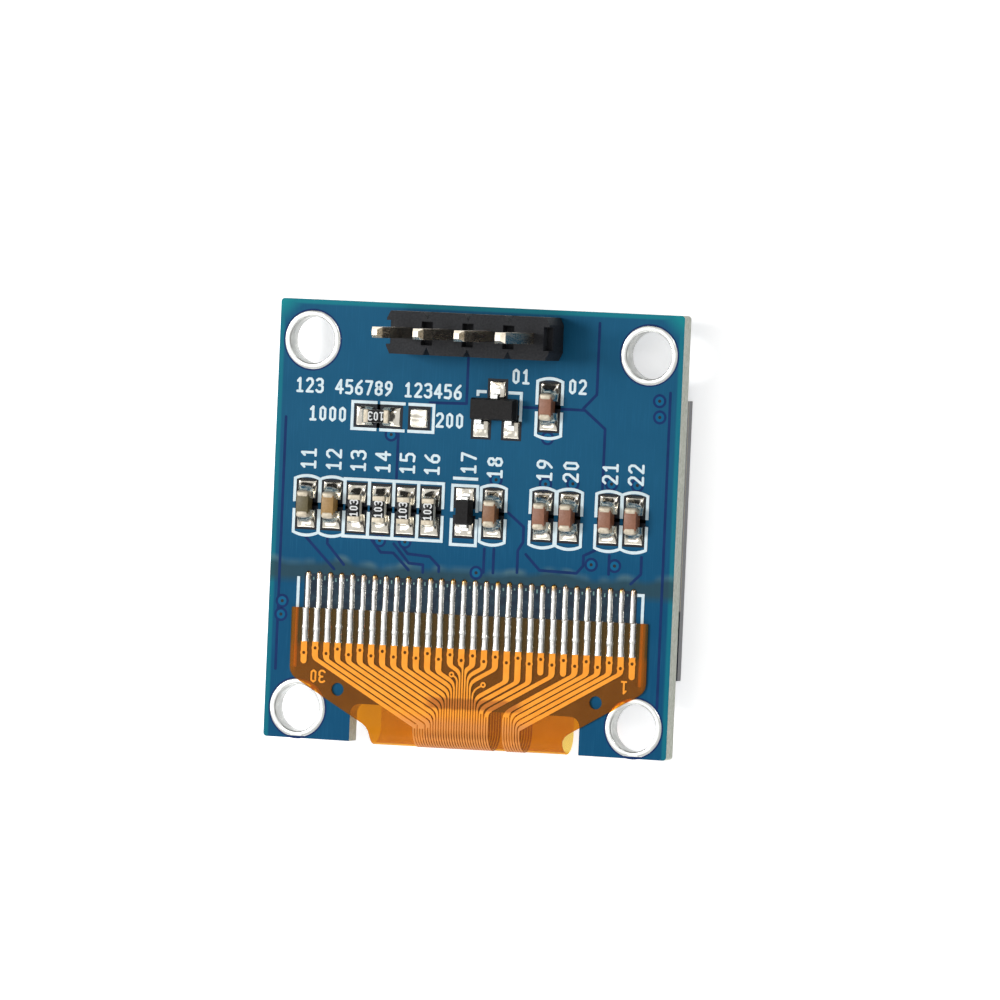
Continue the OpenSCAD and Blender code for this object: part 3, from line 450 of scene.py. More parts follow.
@dataclass(frozen=True)
class SolderMask(Finish):
    """Glossy blue mask over copper, with teal margins where the copper stops short of the edge, flux smears
    above the fingers, and pale rough glass fibre on the cut edges."""

    lower_tone: str = "#044a72"
    mark_tone: str = "#22648a"
    margin_tone: str = "#1a8a90"
    fibre_tone: str = "#f3f5ea"
    fibre_shade: str = "#c6ccb9"
    flux_tone: str = "#30474b"
    flux_rim_tone: str = "#5f7d80"
    flux_edge: float = -2.5

    def surface(self, tree: bpy.types.NodeTree) -> bpy.types.NodeSocket:
        """The mask on the faces and the fibre on the cut edges, parted by which way the surface looks.

        Args:
            tree: The material's tree.

        Returns:
            The shader's output.
        """
        place = self.place(tree)
        axes = add(tree, "ShaderNodeSeparateXYZ", {0: place})
        x, y = axes.outputs["X"], axes.outputs["Y"]
        cloud = add(tree, "ShaderNodeTexNoise", {"Vector": place, "Scale": 1 / 2.4, "Detail": 3.0})
        fine = add(tree, "ShaderNodeTexNoise", {"Vector": place, "Scale": 1 / self.grain, "Detail": 2.0})

        # The board is a little deeper blue towards the flexible circuit
        fall = add(
            tree, "ShaderNodeMapRange",
            {"Value": y, "From Min": 3.0, "From Max": -3.5, "To Min": 0.0, "To Max": 1.0},
        )
        face = add(
            tree, "ShaderNodeMix",
            {0: fall.outputs["Result"], 6: linear(self.tone), 7: linear(self.lower_tone)}, data_type="RGBA",
        )
        # Mottling of the mask's thickness
        mottled = add(
            tree, "ShaderNodeMix",
            {0: cloud.outputs["Fac"], 6: face.outputs[2], 7: linear(self.second_tone)}, data_type="RGBA",
        )
        # Brush marks in the copper under the mask run along the board
        brushed = add(tree, "ShaderNodeVectorMath", {0: place, 1: (11.0, 0.5, 1.0)}, operation="MULTIPLY")
        marks = add(tree, "ShaderNodeTexNoise", {"Vector": brushed.outputs["Vector"], "Scale": 1.0, "Detail": 2.0})
        streak = add(
            tree, "ShaderNodeMapRange",
            {"Value": marks.outputs["Fac"], "From Min": 0.5, "From Max": 0.75, "To Min": 0.0, "To Max": 0.3},
        )
        grained = add(
            tree, "ShaderNodeMix",
            {0: streak.outputs["Result"], 6: mottled.outputs[2], 7: linear(self.mark_tone)}, data_type="RGBA",
        )
        # Margins without copper look teal, most of all at the two corners beside the header
        side = add(tree, "ShaderNodeMath", {0: x}, operation="ABSOLUTE")
        corner = add(tree, "ShaderNodeMath", {0: side.outputs[0], 1: y}, operation="ADD")
        to_corner = add(
            tree, "ShaderNodeMapRange",
            {"Value": corner.outputs[0], "From Min": 23.9, "From Max": 25.2, "To Min": 0.0, "To Max": 0.9},
        )
        to_side = add(
            tree, "ShaderNodeMapRange",
            {"Value": side.outputs[0], "From Min": 12.3, "From Max": 12.42, "To Min": 0.0, "To Max": 0.45},
        )
        to_top = add(
            tree, "ShaderNodeMapRange",
            {"Value": y, "From Min": 12.72, "From Max": 12.84, "To Min": 0.0, "To Max": 0.6},
        )
        margin = add(
            tree, "ShaderNodeMath", {0: to_side.outputs["Result"], 1: to_top.outputs["Result"]}, operation="MAXIMUM"
        )
        margins = add(
            tree, "ShaderNodeMath", {0: margin.outputs[0], 1: to_corner.outputs["Result"]}, operation="MAXIMUM"
        )
        edged = add(
            tree, "ShaderNodeMix",
            {0: margins.outputs[0], 6: grained.outputs[2], 7: linear(self.margin_tone)}, data_type="RGBA",
        )
        fluxed = self.flux(tree, x, y, edged.outputs[2])
        rough = add(
            tree, "ShaderNodeMapRange",
            {"Value": cloud.outputs["Fac"], "From Min": 0.3, "From Max": 0.7,
             "To Min": self.rough[0], "To Max": self.rough[1]},
        )
        relief = add(tree, "ShaderNodeBump", {"Height": fine.outputs["Fac"], "Distance": self.bump * MM})
        mask = add(
            tree, "ShaderNodeBsdfPrincipled",
            {
                "Base Color": fluxed, "Roughness": rough.outputs["Result"], "IOR": self.ior,
                "Specular IOR Level": self.specular, "Normal": relief.outputs["Normal"],
            },
        )

        # Cut edges: routed glass fibre, pale with greenish pits along the layers
        layers = add(tree, "ShaderNodeVectorMath", {0: place, 1: (1.0, 1.0, 3.0)}, operation="MULTIPLY")
        pits = add(
            tree, "ShaderNodeTexNoise",
            {"Vector": layers.outputs["Vector"], "Scale": 1 / 0.22, "Detail": 5.0, "Roughness": 0.7},
        )
        tones = add(tree, "ShaderNodeValToRGB", {"Fac": pits.outputs["Fac"]})
        dark, light = tones.color_ramp.elements
        dark.position, light.position = 0.35, 0.6
        dark.color, light.color = linear(self.fibre_shade), linear(self.fibre_tone)
        torn = add(tree, "ShaderNodeBump", {"Height": pits.outputs["Fac"], "Distance": 0.06 * MM})
        fibre = add(
            tree, "ShaderNodeBsdfPrincipled",
            {"Base Color": tones.outputs["Color"], "Roughness": 0.8, "Normal": torn.outputs["Normal"]},
        )
        looks = add(tree, "ShaderNodeNewGeometry")
        up = add(tree, "ShaderNodeSeparateXYZ", {0: looks.outputs["True Normal"]})
        flat = add(tree, "ShaderNodeMath", {0: up.outputs["Z"]}, operation="ABSOLUTE")
        level = add(tree, "ShaderNodeMath", {0: flat.outputs[0], 1: 0.5}, operation="GREATER_THAN")
        both = add(
            tree, "ShaderNodeMixShader", {0: level.outputs[0], 1: fibre.outputs["BSDF"], 2: mask.outputs["BSDF"]}
        )
        return both.outputs["Shader"]


    def flux(
        self, tree: bpy.types.NodeTree, x: bpy.types.NodeSocket, y: bpy.types.NodeSocket, under: bpy.types.NodeSocket
    ) -> bpy.types.NodeSocket:
        """Flux residue above the fingers: a dark film with a wavy, paler upper rim.

        Args:
            tree: The material's tree.
            x: Place across the board.
            y: Place along the board.
            under: The colour under the residue.

        Returns:
            The colour's output.
        """
        across = add(tree, "ShaderNodeCombineXYZ", {"X": x})
        waves = add(tree, "ShaderNodeTexNoise", {"Vector": across.outputs[0], "Scale": 1 / 3.4, "Detail": 1.5})
        reach = add(tree, "ShaderNodeMath", {0: waves.outputs["Fac"], 1: -1.6, 2: y}, operation="MULTIPLY_ADD")
        depth = add(
            tree, "ShaderNodeMath", {0: reach.outputs[0], 1: 0.8 - self.flux_edge}, operation="ADD"
        )
        film = add(
            tree, "ShaderNodeMapRange",
            {"Value": depth.outputs[0], "From Min": 0.1, "From Max": -0.3, "To Min": 0.0, "To Max": 0.75},
        )
        away = add(tree, "ShaderNodeMath", {0: depth.outputs[0]}, operation="ABSOLUTE")
        rim = add(
            tree, "ShaderNodeMapRange",
            {"Value": away.outputs[0], "From Min": 0.0, "From Max": 0.3, "To Min": 0.5, "To Max": 0.0},
        )
        # The residue ends a little below the upper ends of the fingers
        row = add(
            tree, "ShaderNodeMapRange",
            {"Value": y, "From Min": -3.9, "From Max": -3.4, "To Min": 0.0, "To Max": 1.0},
        )
        dark = add(tree, "ShaderNodeMath", {0: film.outputs["Result"], 1: row.outputs["Result"]}, operation="MULTIPLY")
        coated = add(
            tree, "ShaderNodeMix", {0: dark.outputs[0], 6: under, 7: linear(self.flux_tone)}, data_type="RGBA"
        )
        patches = add(tree, "ShaderNodeTexNoise", {"Vector": across.outputs[0], "Scale": 1 / 1.7, "Detail": 1.0})
        there = add(tree, "ShaderNodeMapRange", {"Value": patches.outputs["Fac"], "From Min": 0.42, "From Max": 0.6})
        seen = add(tree, "ShaderNodeMath", {0: rim.outputs["Result"], 1: there.outputs["Result"]}, operation="MULTIPLY")
        rimmed = add(
            tree, "ShaderNodeMix",
            {0: seen.outputs[0], 6: coated.outputs[2], 7: linear(self.flux_rim_tone)}, data_type="RGBA",
        )
        return rimmed.outputs[2]


@dataclass(frozen=True)
class AmberFilm(Finish):
    """Polyimide film: part of the light goes through it and turns amber, the rest comes back brown from the
    film's own body. Flux wets it between the fingers, print under its side strips brightens it."""

    through_tone: str = "#ffcc10"
    clear_share: float = 0.66
    # Painted light: the leg under the board gets a paler tint and a larger clear share than the same film above, to
    # lift the shade it lies in
    leg_painted_light_tone: str = "#fff2b4"
    leg_painted_light_share: float = 0.86
    wet_tone: str = "#6a5c34"
    strip_tone: str = "#e08a22"
    strip: tuple[float, float] = (10.72, 11.12)

    def along(self, tree: bpy.types.NodeTree) -> tuple[bpy.types.NodeSocket, bpy.types.Node]:
        """The place along the turned film, and the plain axes."""
        axes = add(tree, "ShaderNodeSeparateXYZ", {0: self.place(tree)})
        made = add(
            tree, "ShaderNodeMath",
            {0: axes.outputs["X"], 1: -math.sin(FLEX_TURN), 2: axes.outputs["Y"]}, operation="MULTIPLY_ADD",
        )
        return made.outputs[0], axes

    def colour(self, tree: bpy.types.NodeTree, grains: bpy.types.NodeSocket) -> bpy.types.NodeSocket:
        """Brown, olive where flux wets the film, orange over the strips of print.

        Args:
            tree: The material's tree.
            grains: The noise of the finish.

        Returns:
            The colour's output.
        """
        body = super().colour(tree, grains)
        y, axes = self.along(tree)
        cloudy = add(tree, "ShaderNodeMath", {0: grains, 1: 0.5, 2: y}, operation="MULTIPLY_ADD")
        wet = add(tree, "ShaderNodeMapRange", {"Value": cloudy.outputs[0], "From Min": -7.25, "From Max": -6.85})
        wetted = add(
            tree, "ShaderNodeMix",
            {0: wet.outputs["Result"], 6: body, 7: linear(self.wet_tone)}, data_type="RGBA",
        )
        side = add(tree, "ShaderNodeMath", {0: axes.outputs["X"]}, operation="ABSOLUTE")
        middle = add(tree, "ShaderNodeMath", {0: side.outputs[0], 1: sum(self.strip) / 2}, operation="SUBTRACT")
        off = add(tree, "ShaderNodeMath", {0: middle.outputs[0]}, operation="ABSOLUTE")
        half = (self.strip[1] - self.strip[0]) / 2
        inside = add(
            tree, "ShaderNodeMapRange",
            {"Value": off.outputs[0], "From Min": half, "From Max": half - 0.1, "To Min": 0.0, "To Max": 0.6},
        )
        above = add(
            tree, "ShaderNodeMapRange",
            {"Value": y, "From Min": -9.3, "From Max": -8.6, "To Min": 0.0, "To Max": 1.0},
        )
        strip = add(
            tree, "ShaderNodeMath", {0: inside.outputs["Result"], 1: above.outputs["Result"]}, operation="MULTIPLY"
        )
        mixed = add(
            tree, "ShaderNodeMix",
            {0: strip.outputs[0], 6: wetted.outputs[2], 7: linear(self.strip_tone)}, data_type="RGBA",
        )
        return mixed.outputs[2]

    def surface(self, tree: bpy.types.NodeTree) -> bpy.types.NodeSocket:
        """A mix of a tinted clear part and a brown part; the leg under the board is made paler and clearer, painted
        light that lifts the shade it lies in.

        Args:
            tree: The material's tree.

        Returns:
            The shader's output.
        """
        body = super().surface(tree)
        axes = add(tree, "ShaderNodeSeparateXYZ", {0: self.place(tree)})
        # Painted light: lower down, the film turns paler and clearer
        low = add(
            tree, "ShaderNodeMapRange",
            {"Value": axes.outputs["Z"], "From Min": 2.2, "From Max": 1.4, "To Min": 0.0, "To Max": 1.0},
        )
        tint = add(
            tree, "ShaderNodeMix",
            {0: low.outputs["Result"], 6: linear(self.through_tone), 7: linear(self.leg_painted_light_tone)}, data_type="RGBA",
        )
        share = add(
            tree, "ShaderNodeMapRange",
            {"Value": low.outputs["Result"], "To Min": self.clear_share, "To Max": self.leg_painted_light_share},
        )
        clear = add(tree, "ShaderNodeBsdfTransparent", {"Color": tint.outputs[2]})
        both = add(
            tree, "ShaderNodeMixShader", {0: share.outputs["Result"], 1: body, 2: clear.outputs["BSDF"]}
        )
        return both.outputs["Shader"]


@dataclass(frozen=True)
class FilmCopper(Finish):
    """Copper seen through amber film: orange, browner down the neck, with a painted shadow band where the board's notch
    edge shades it.
    """

    neck_tone: str = "#cf8440"
    # Painted shadow: the dark band across the copper where the board's notch edge shades the film
    notch_shadow_tone: str = "#93491a"

    def colour(self, tree: bpy.types.NodeTree, grains: bpy.types.NodeSocket) -> bpy.types.NodeSocket:
        """Orange, then the painted shadow band, then the browner neck.

        Args:
            tree: The material's tree.
            grains: The noise of the finish.

        Returns:
            The colour's output.
        """
        plain = super().colour(tree, grains)
        axes = add(tree, "ShaderNodeSeparateXYZ", {0: self.place(tree)})
        waved = add(tree, "ShaderNodeMath", {0: grains, 1: 0.3, 2: axes.outputs["Y"]}, operation="MULTIPLY_ADD")
        neck = add(tree, "ShaderNodeMapRange", {"Value": waved.outputs[0], "From Min": -11.0, "From Max": -11.5})
        necked = add(
            tree, "ShaderNodeMix",
            {0: neck.outputs["Result"], 6: plain, 7: linear(self.neck_tone)}, data_type="RGBA",
        )
        # Painted shadow of the board's notch edge: a darker band across the copper near the notch
        middle = add(tree, "ShaderNodeMath", {0: waved.outputs[0], 1: 10.3}, operation="ADD")
        off = add(tree, "ShaderNodeMath", {0: middle.outputs[0]}, operation="ABSOLUTE")
        notch_shade = add(
            tree, "ShaderNodeMapRange",
            {"Value": off.outputs[0], "From Min": 0.4, "From Max": 0.25, "To Min": 0.0, "To Max": 0.7},
        )
        middle_x = add(tree, "ShaderNodeMath", {0: axes.outputs["X"], 1: 0.6}, operation="SUBTRACT")
        from_middle = add(tree, "ShaderNodeMath", {0: middle_x.outputs[0]}, operation="ABSOLUTE")
        within = add(tree, "ShaderNodeMapRange", {"Value": from_middle.outputs[0], "From Min": 3.2, "From Max": 2.6})
        share = add(
            tree, "ShaderNodeMath", {0: notch_shade.outputs["Result"], 1: within.outputs["Result"]}, operation="MULTIPLY"
        )
        mixed = add(
            tree, "ShaderNodeMix",
            {0: share.outputs[0], 6: necked.outputs[2], 7: linear(self.notch_shadow_tone)}, data_type="RGBA",
        )
        return mixed.outputs[2]


@dataclass(frozen=True)
class FluxedSolder(Finish):
    """Reflowed solder whose upper tips are golden to brown with baked flux."""

    tip_tone: str = "#8f6a2c"
    tip_start: float = -3.6
    tip_end: float = -3.1
    pit_tone: str = "#4a2416"

    def colour(self, tree: bpy.types.NodeTree, grains: bpy.types.NodeSocket) -> bpy.types.NodeSocket:
        """Solder, tinted towards the tips.

        Args:
            tree: The material's tree.
            grains: The noise of the finish.

        Returns:
            The colour's output.
        """
        plain = super().colour(tree, grains)
        axes = add(tree, "ShaderNodeSeparateXYZ", {0: self.place(tree)})
        wave = add(tree, "ShaderNodeMath", {0: grains, 1: 0.6, 2: axes.outputs["Y"]}, operation="MULTIPLY_ADD")
        tip = add(
            tree, "ShaderNodeMapRange",
            {"Value": wave.outputs[0], "From Min": self.tip_start + 0.3, "From Max": self.tip_end + 0.3},
        )
        tipped = add(
            tree, "ShaderNodeMix",
            {0: tip.outputs["Result"], 6: plain, 7: linear(self.tip_tone)}, data_type="RGBA",
        )
        # Dark brown specks in the fingers left of the middle
        specks = add(tree, "ShaderNodeTexNoise", {"Vector": self.place(tree), "Scale": 1 / 0.11, "Detail": 1.0})
        deep = add(tree, "ShaderNodeMapRange", {"Value": specks.outputs["Fac"], "From Min": 0.62, "From Max": 0.7})
        middle = add(tree, "ShaderNodeMath", {0: axes.outputs["X"], 1: 6.0}, operation="ADD")
        off = add(tree, "ShaderNodeMath", {0: middle.outputs[0]}, operation="ABSOLUTE")
        there = add(tree, "ShaderNodeMapRange", {"Value": off.outputs[0], "From Min": 2.8, "From Max": 1.6})
        high = add(tree, "ShaderNodeMapRange", {"Value": axes.outputs["Y"], "From Min": -5.0, "From Max": -4.2})
        dark_specks = add(tree, "ShaderNodeMath", {0: deep.outputs["Result"], 1: there.outputs["Result"]}, operation="MULTIPLY")
        share = add(tree, "ShaderNodeMath", {0: dark_specks.outputs[0], 1: high.outputs["Result"]}, operation="MULTIPLY")
        mixed = add(
            tree, "ShaderNodeMix",
            {0: share.outputs[0], 6: tipped.outputs[2], 7: linear(self.pit_tone)}, data_type="RGBA",
        )
        return mixed.outputs[2]


@dataclass(frozen=True)
class CoatedAlumina(Finish):
    """A resistor's body: black glass on top, white alumina down the sides."""

    side_tone: str = "#d8d6cd"

    def colour(self, tree: bpy.types.NodeTree, grains: bpy.types.NodeSocket) -> bpy.types.NodeSocket:
        """Black where the surface looks up, white elsewhere.

        Args:
            tree: The material's tree.
            grains: The noise of the finish.

        Returns:
            The colour's output.
        """
        coat = super().colour(tree, grains)
        looks = add(tree, "ShaderNodeNewGeometry")
        up = add(tree, "ShaderNodeSeparateXYZ", {0: looks.outputs["Normal"]})
        top = add(tree, "ShaderNodeMath", {0: up.outputs["Z"], 1: 0.6}, operation="GREATER_THAN")
        mixed = add(
            tree, "ShaderNodeMix", {0: top.outputs[0], 6: linear(self.side_tone), 7: coat}, data_type="RGBA"
        )
        return mixed.outputs[2]


# Liquid photoimageable solder mask, screened and cured: an even blue gloss with faint mottling
MASK = SolderMask("solder_mask_on_glass_fibre", "#1c5a7c", "#155274", 0.5, (0.3, 0.42), bump=0.002, specular=0.04)
# The same mask where the copper is etched away: deep violet navy
BARE_MASK = Finish("mask_over_bare_laminate", "#15305e", "#1a3566", 0.8, (0.35, 0.45), specular=0.04)
# The mask over a lone copper track: a lighter, greener blue
TRACK_MASK = Finish("mask_over_copper_track", "#14628a", "#0f5c84", 0.8, (0.35, 0.45), specular=0.04)
# Uncovered laminate round the pads, darkened to almost black navy: real dark laminate, and also painted shade beside
# the chips
PAD_GAP_AND_SHADE = Finish("laminate_round_pads_and_painted_shade", "#0c1420", "#14161a", 0.4, (0.3, 0.45), specular=0.15)
# The same laminate under a glaze of clear flux, between the fingers
GLAZED_GAP = Finish("flux_glazed_laminate", "#0a1e30", "#15303f", 0.5, (0.15, 0.3), bump=0.004, specular=0.15)
# Beads of clear flux that caught between the fingers' ends
FLUX_BEAD = Finish("flux_bead", "#7fa9a8", "#5b8486", 0.1, (0.2, 0.3), specular=0.3)
# Epoxy ink pushed through a screen: flat white with a faint blue cast
INK = Finish("screened_white_ink", "#dcebf0", "#cfe2e9", 0.35, (0.6, 0.75), bump=0.004)
# Hot-air levelled solder over copper: bright, with soft dents
LEVELLED = Finish("levelled_solder", "#c9cac7", "#b4b5b2", 0.7, (0.24, 0.38), metallic=1.0, bump=0.006, detail=1.5)
# Reflowed solder: mirror bright with small ripples
REFLOWED = Finish("reflowed_solder", "#d6d1c6", "#c6c0b3", 0.4, (0.12, 0.22), metallic=1.0, bump=0.003, detail=1.0)
# Hand-soldered bars: bright solder with baked flux at the tips
BAR_SOLDER = FluxedSolder("bar_solder", "#cfcfcc", "#b9b8b4", 0.4, (0.16, 0.3), metallic=1.0, bump=0.004, detail=1.5)
# Barrel-tinned chip ends: satin, warm grey
CHIP_END = Finish("tinned_chip_end", "#c9bfac", "#b3a893", 0.16, (0.45, 0.55), metallic=0.3, bump=0.003, specular=0.3)
# Plastics
HOUSING = Finish("glass_filled_nylon", "#2b2c2f", "#232427", 0.12, (0.5, 0.6), bump=0.005, specular=0.12)
EPOXY = Finish("moulding_epoxy", "#1f1e1e", "#181717", 0.08, (0.5, 0.62), bump=0.003, specular=0.12)
# Gold flash over brass: warm, slightly dull
GOLD = Finish("gold_flash", "#e6dccb", "#d6c9b2", 0.5, (0.2, 0.32), metallic=1.0, stretch=(1.0, 1.0, 0.1))
LEAD = Finish("tinned_lead_frame", "#c6c7c5", "#b0b1af", 0.2, (0.25, 0.38), metallic=1.0)
# Fired ceramic of the capacitors: each batch has its own brown
CERAMIC_OLIVE = Finish("fired_ceramic_olive", "#5d5330", "#524827", 0.1, (0.45, 0.55), bump=0.003)
CERAMIC_TAN = Finish("fired_ceramic_tan", "#a07c44", "#93713c", 0.1, (0.45, 0.55), bump=0.003)
CERAMIC_BROWN = Finish("fired_ceramic_brown", "#845a36", "#794f2f", 0.1, (0.45, 0.55), bump=0.003)
CERAMIC_RED = Finish("fired_ceramic_red_brown", "#8c5b42", "#805239", 0.1, (0.45, 0.55), bump=0.003)
RESISTOR = CoatedAlumina("glass_coated_alumina", "#1a1a1b", "#202021", 0.1, (0.25, 0.35), specular=0.08)
MARKING = Finish("resistor_marking", "#e6e8e8", "#d6d8d8", 0.1, (0.6, 0.7))
# Flexible circuit
FILM = AmberFilm("polyimide_film", "#a8702e", "#9c6628", 0.9, (0.2, 0.3), bump=0.004, specular=0.12)
COPPER = FilmCopper("copper_under_film", "#e9942c", "#e08a22", 0.6, (0.3, 0.4), metallic=0.2, specular=0.15)
# Display side
GLASS = Finish("display_glass", "#4a4d54", "#42454c", 2.0, (0.05, 0.08), ior=1.52)
POLARISER = Finish("dark_polariser_film", "#15171b", "#191b20", 3.0, (0.12, 0.18))
CATHODE = Finish("evaporated_cathode", "#b9bec4", "#aab0b6", 1.0, (0.15, 0.2), metallic=1.0)
GLUE = Finish("cured_glue", "#c9b98a", "#bfae7d", 0.5, (0.4, 0.5))
DRYER = Finish("drying_sheet_felt", "#e8e6de", "#dddad0", 0.1, (0.85, 0.95), bump=0.01)
SILICON = Finish("lapped_silicon", "#4a4d52", "#414449", 0.3, (0.2, 0.3), specular=0.8)
SEALANT = Finish("chip_sealant_resin", "#6d7f86", "#647680", 0.4, (0.2, 0.3))
FOAM = Finish("foam_tape", "#efefeb", "#e3e3de", 0.08, (0.85, 0.95), bump=0.02)


# --------------------------------------------------------------------- the module


@dataclass
class CadDress:
    """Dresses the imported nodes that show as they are."""

    finishes: dict[str, Finish]

    def build(self) -> None:
        """Gives each named node its finish."""
        for name, finish in self.finishes.items():
            node = frame["nodes"][name]
            node.data.materials.clear()
            node.data.materials.append(finish.material())
            log.info("%s dressed in %s", name, finish.name)


@dataclass
class MountRing:
    """The solder-coated ring and barrel of a mounting hole."""

    node: str
    number: int
    hole_r: float = 1.4
    ring_r: float = 1.75
    crown: float = 0.035
    edge_gap: float = 0.13
    steps: int = 96

    def build(self) -> Piece:
        """The ring as one lathe-like skin, cut straight where the copper stops near an edge.

        Returns:
            The finished piece.
        """
        box = Box.of(self.node)
        hole = Vector((box.centre.x, box.high.y - self.ring_r))
        low, high = box.low.z, box.high.z
        middle = (self.hole_r + self.ring_r) / 2
        section = [
            (self.hole_r + 0.02, low + 0.02), (self.hole_r, low + 0.1), (self.hole_r, high - 0.06),
            (self.hole_r + 0.02, high - 0.015), (self.hole_r + 0.07, high),
            (middle, high + self.crown * 0.2), (self.ring_r - 0.05, high - 0.005), (self.ring_r, high - 0.035),
            (self.ring_r, FACE_Z - 0.02), (self.hole_r + 0.09, FACE_Z - 0.03),
            (self.hole_r + 0.09, BOARD.low.z + 0.02), (self.ring_r, BOARD.low.z), (self.ring_r, low),
        ]
        shape = Shape()
        points = []
        for k in range(self.steps):
            angle = 2 * math.pi * k / self.steps
            wobble = 1 + 0.006 * ripple(math.cos(angle), math.sin(angle), self.number, 0.5)
            for r, z in section:
                x = hole.x + r * wobble * math.cos(angle)
                y = hole.y + r * wobble * math.sin(angle)
                dent = 0.02 * ripple(x, y, self.number, 0.45) if abs(z - high) < 0.03 else 0.0
                points.append(Vector((
                    min(max(x, BOARD.low.x + self.edge_gap), BOARD.high.x - self.edge_gap),
                    min(max(y, BOARD.low.y + self.edge_gap), BOARD.high.y - self.edge_gap),
                    z + min(0.0, dent),
                )))
        n = len(section)
        faces = [
            (k * n + j, (k + 1) % self.steps * n + j, (k + 1) % self.steps * n + (j + 1) % n, k * n + (j + 1) % n)
            for k in range(self.steps)
            for j in range(n)
        ]
        shape.add(points, faces)
        return Piece(f"solder_ring_{self.number}", shape, LEVELLED, "tinned_copper", [self.node])


@dataclass
class SolderBars:
    """A row of solder-coated fingers."""

    node: str
    name: str
    width: float
    height: float
    seed: float
    lumps: float
    turn: float = 0.0
    blunt: bool = False
    across: int = 10
    rows: int = 72

    def build(self) -> Piece:
        """All the bars of the row, in one piece.

        Returns:
            The finished piece.
        """
        box = Box.of(self.node)
        lean = math.sin(self.turn)
        length = box.size.y - box.size.x * lean
        reach = (box.size.x - length * lean) / math.cos(self.turn)
        pitch = (reach - self.width) / (FINGER_COUNT - 1)
        shape = Shape()
        for i in range(FINGER_COUNT):
            x = (i - (FINGER_COUNT - 1) / 2) * pitch
            shape.patch(lambda u, v: self.point(u, v, x, i, length, box.low.z), self.across, self.rows)
        placed = shape.turned(self.turn)
        offset = Vector((box.centre.x, box.centre.y, 0))
        placed.points = [p + offset for p in placed.points]
        return Piece(self.name, placed, BAR_SOLDER, "solder", [self.node])

    def point(self, u: float, v: float, x: float, i: int, length: float, base: float) -> Vector:
        """A point on a bar.

        Args:
            u: From -1 to 1 across.
            v: From -1 to 1 along.
            x: The bar's place across.
            i: The bar's number.
            length: The bar's length.
            base: Height of the bar's underside.

        Returns:
            The point.
        """
        y = v * length / 2
        below, above = length / 2 + y, length / 2 - y
        end = above if not self.blunt else length
        tip = math.sqrt(max(0.0, 1 - (1 - min(1.0, end / (self.width / 2))) ** 2))
        lump = ripple(i * 3.1, y, self.seed, 0.55) + 0.25 * ripple(i * 5.7, y, self.seed + 1, 0.22)
        wide = 1 + 0.35 * self.lumps * lump
        tall = 1 + self.lumps * lump
        if self.blunt:
            # Solder drawn up into two horns at the film's end, and a knot half way down
            horn = math.exp(-((above / 0.11) ** 2))
            knot = math.exp(-(((y + 0.15 + 0.1 * math.sin(i * 1.7)) / 0.11) ** 2))
            foot = math.exp(-((below / 0.16) ** 2))
            wide += 0.12 * horn + 0.2 * knot * (0.7 + 0.3 * math.sin(i * 2.4)) + 0.1 * foot - 0.12
            tall += 0.16 * knot + 0.3 * horn * abs(u)
            y += 0.07 * horn * (abs(u) - 0.5)
        half = self.width / 2 * wide * (0.2 + 0.8 * tip)
        crown = (1 - u * u) ** 0.5 if abs(u) < 1 else 0.0
        slide = 0.02 * ripple(i * 2.3, y, self.seed + 2, 0.9)
        return Vector((x + slide + half * u, y, base + self.height * tall * crown * (0.25 + 0.75 * tip)))


@dataclass(frozen=True)
class Joint:
    """A solder joint at a chip's end: where it is, which way it looks, and how big its metal end is."""

    x: float
    y: float
    heading: float
    end_w: float
    end_h: float
    pad_w: float
    pad_reach: float
    under: float = 0.5


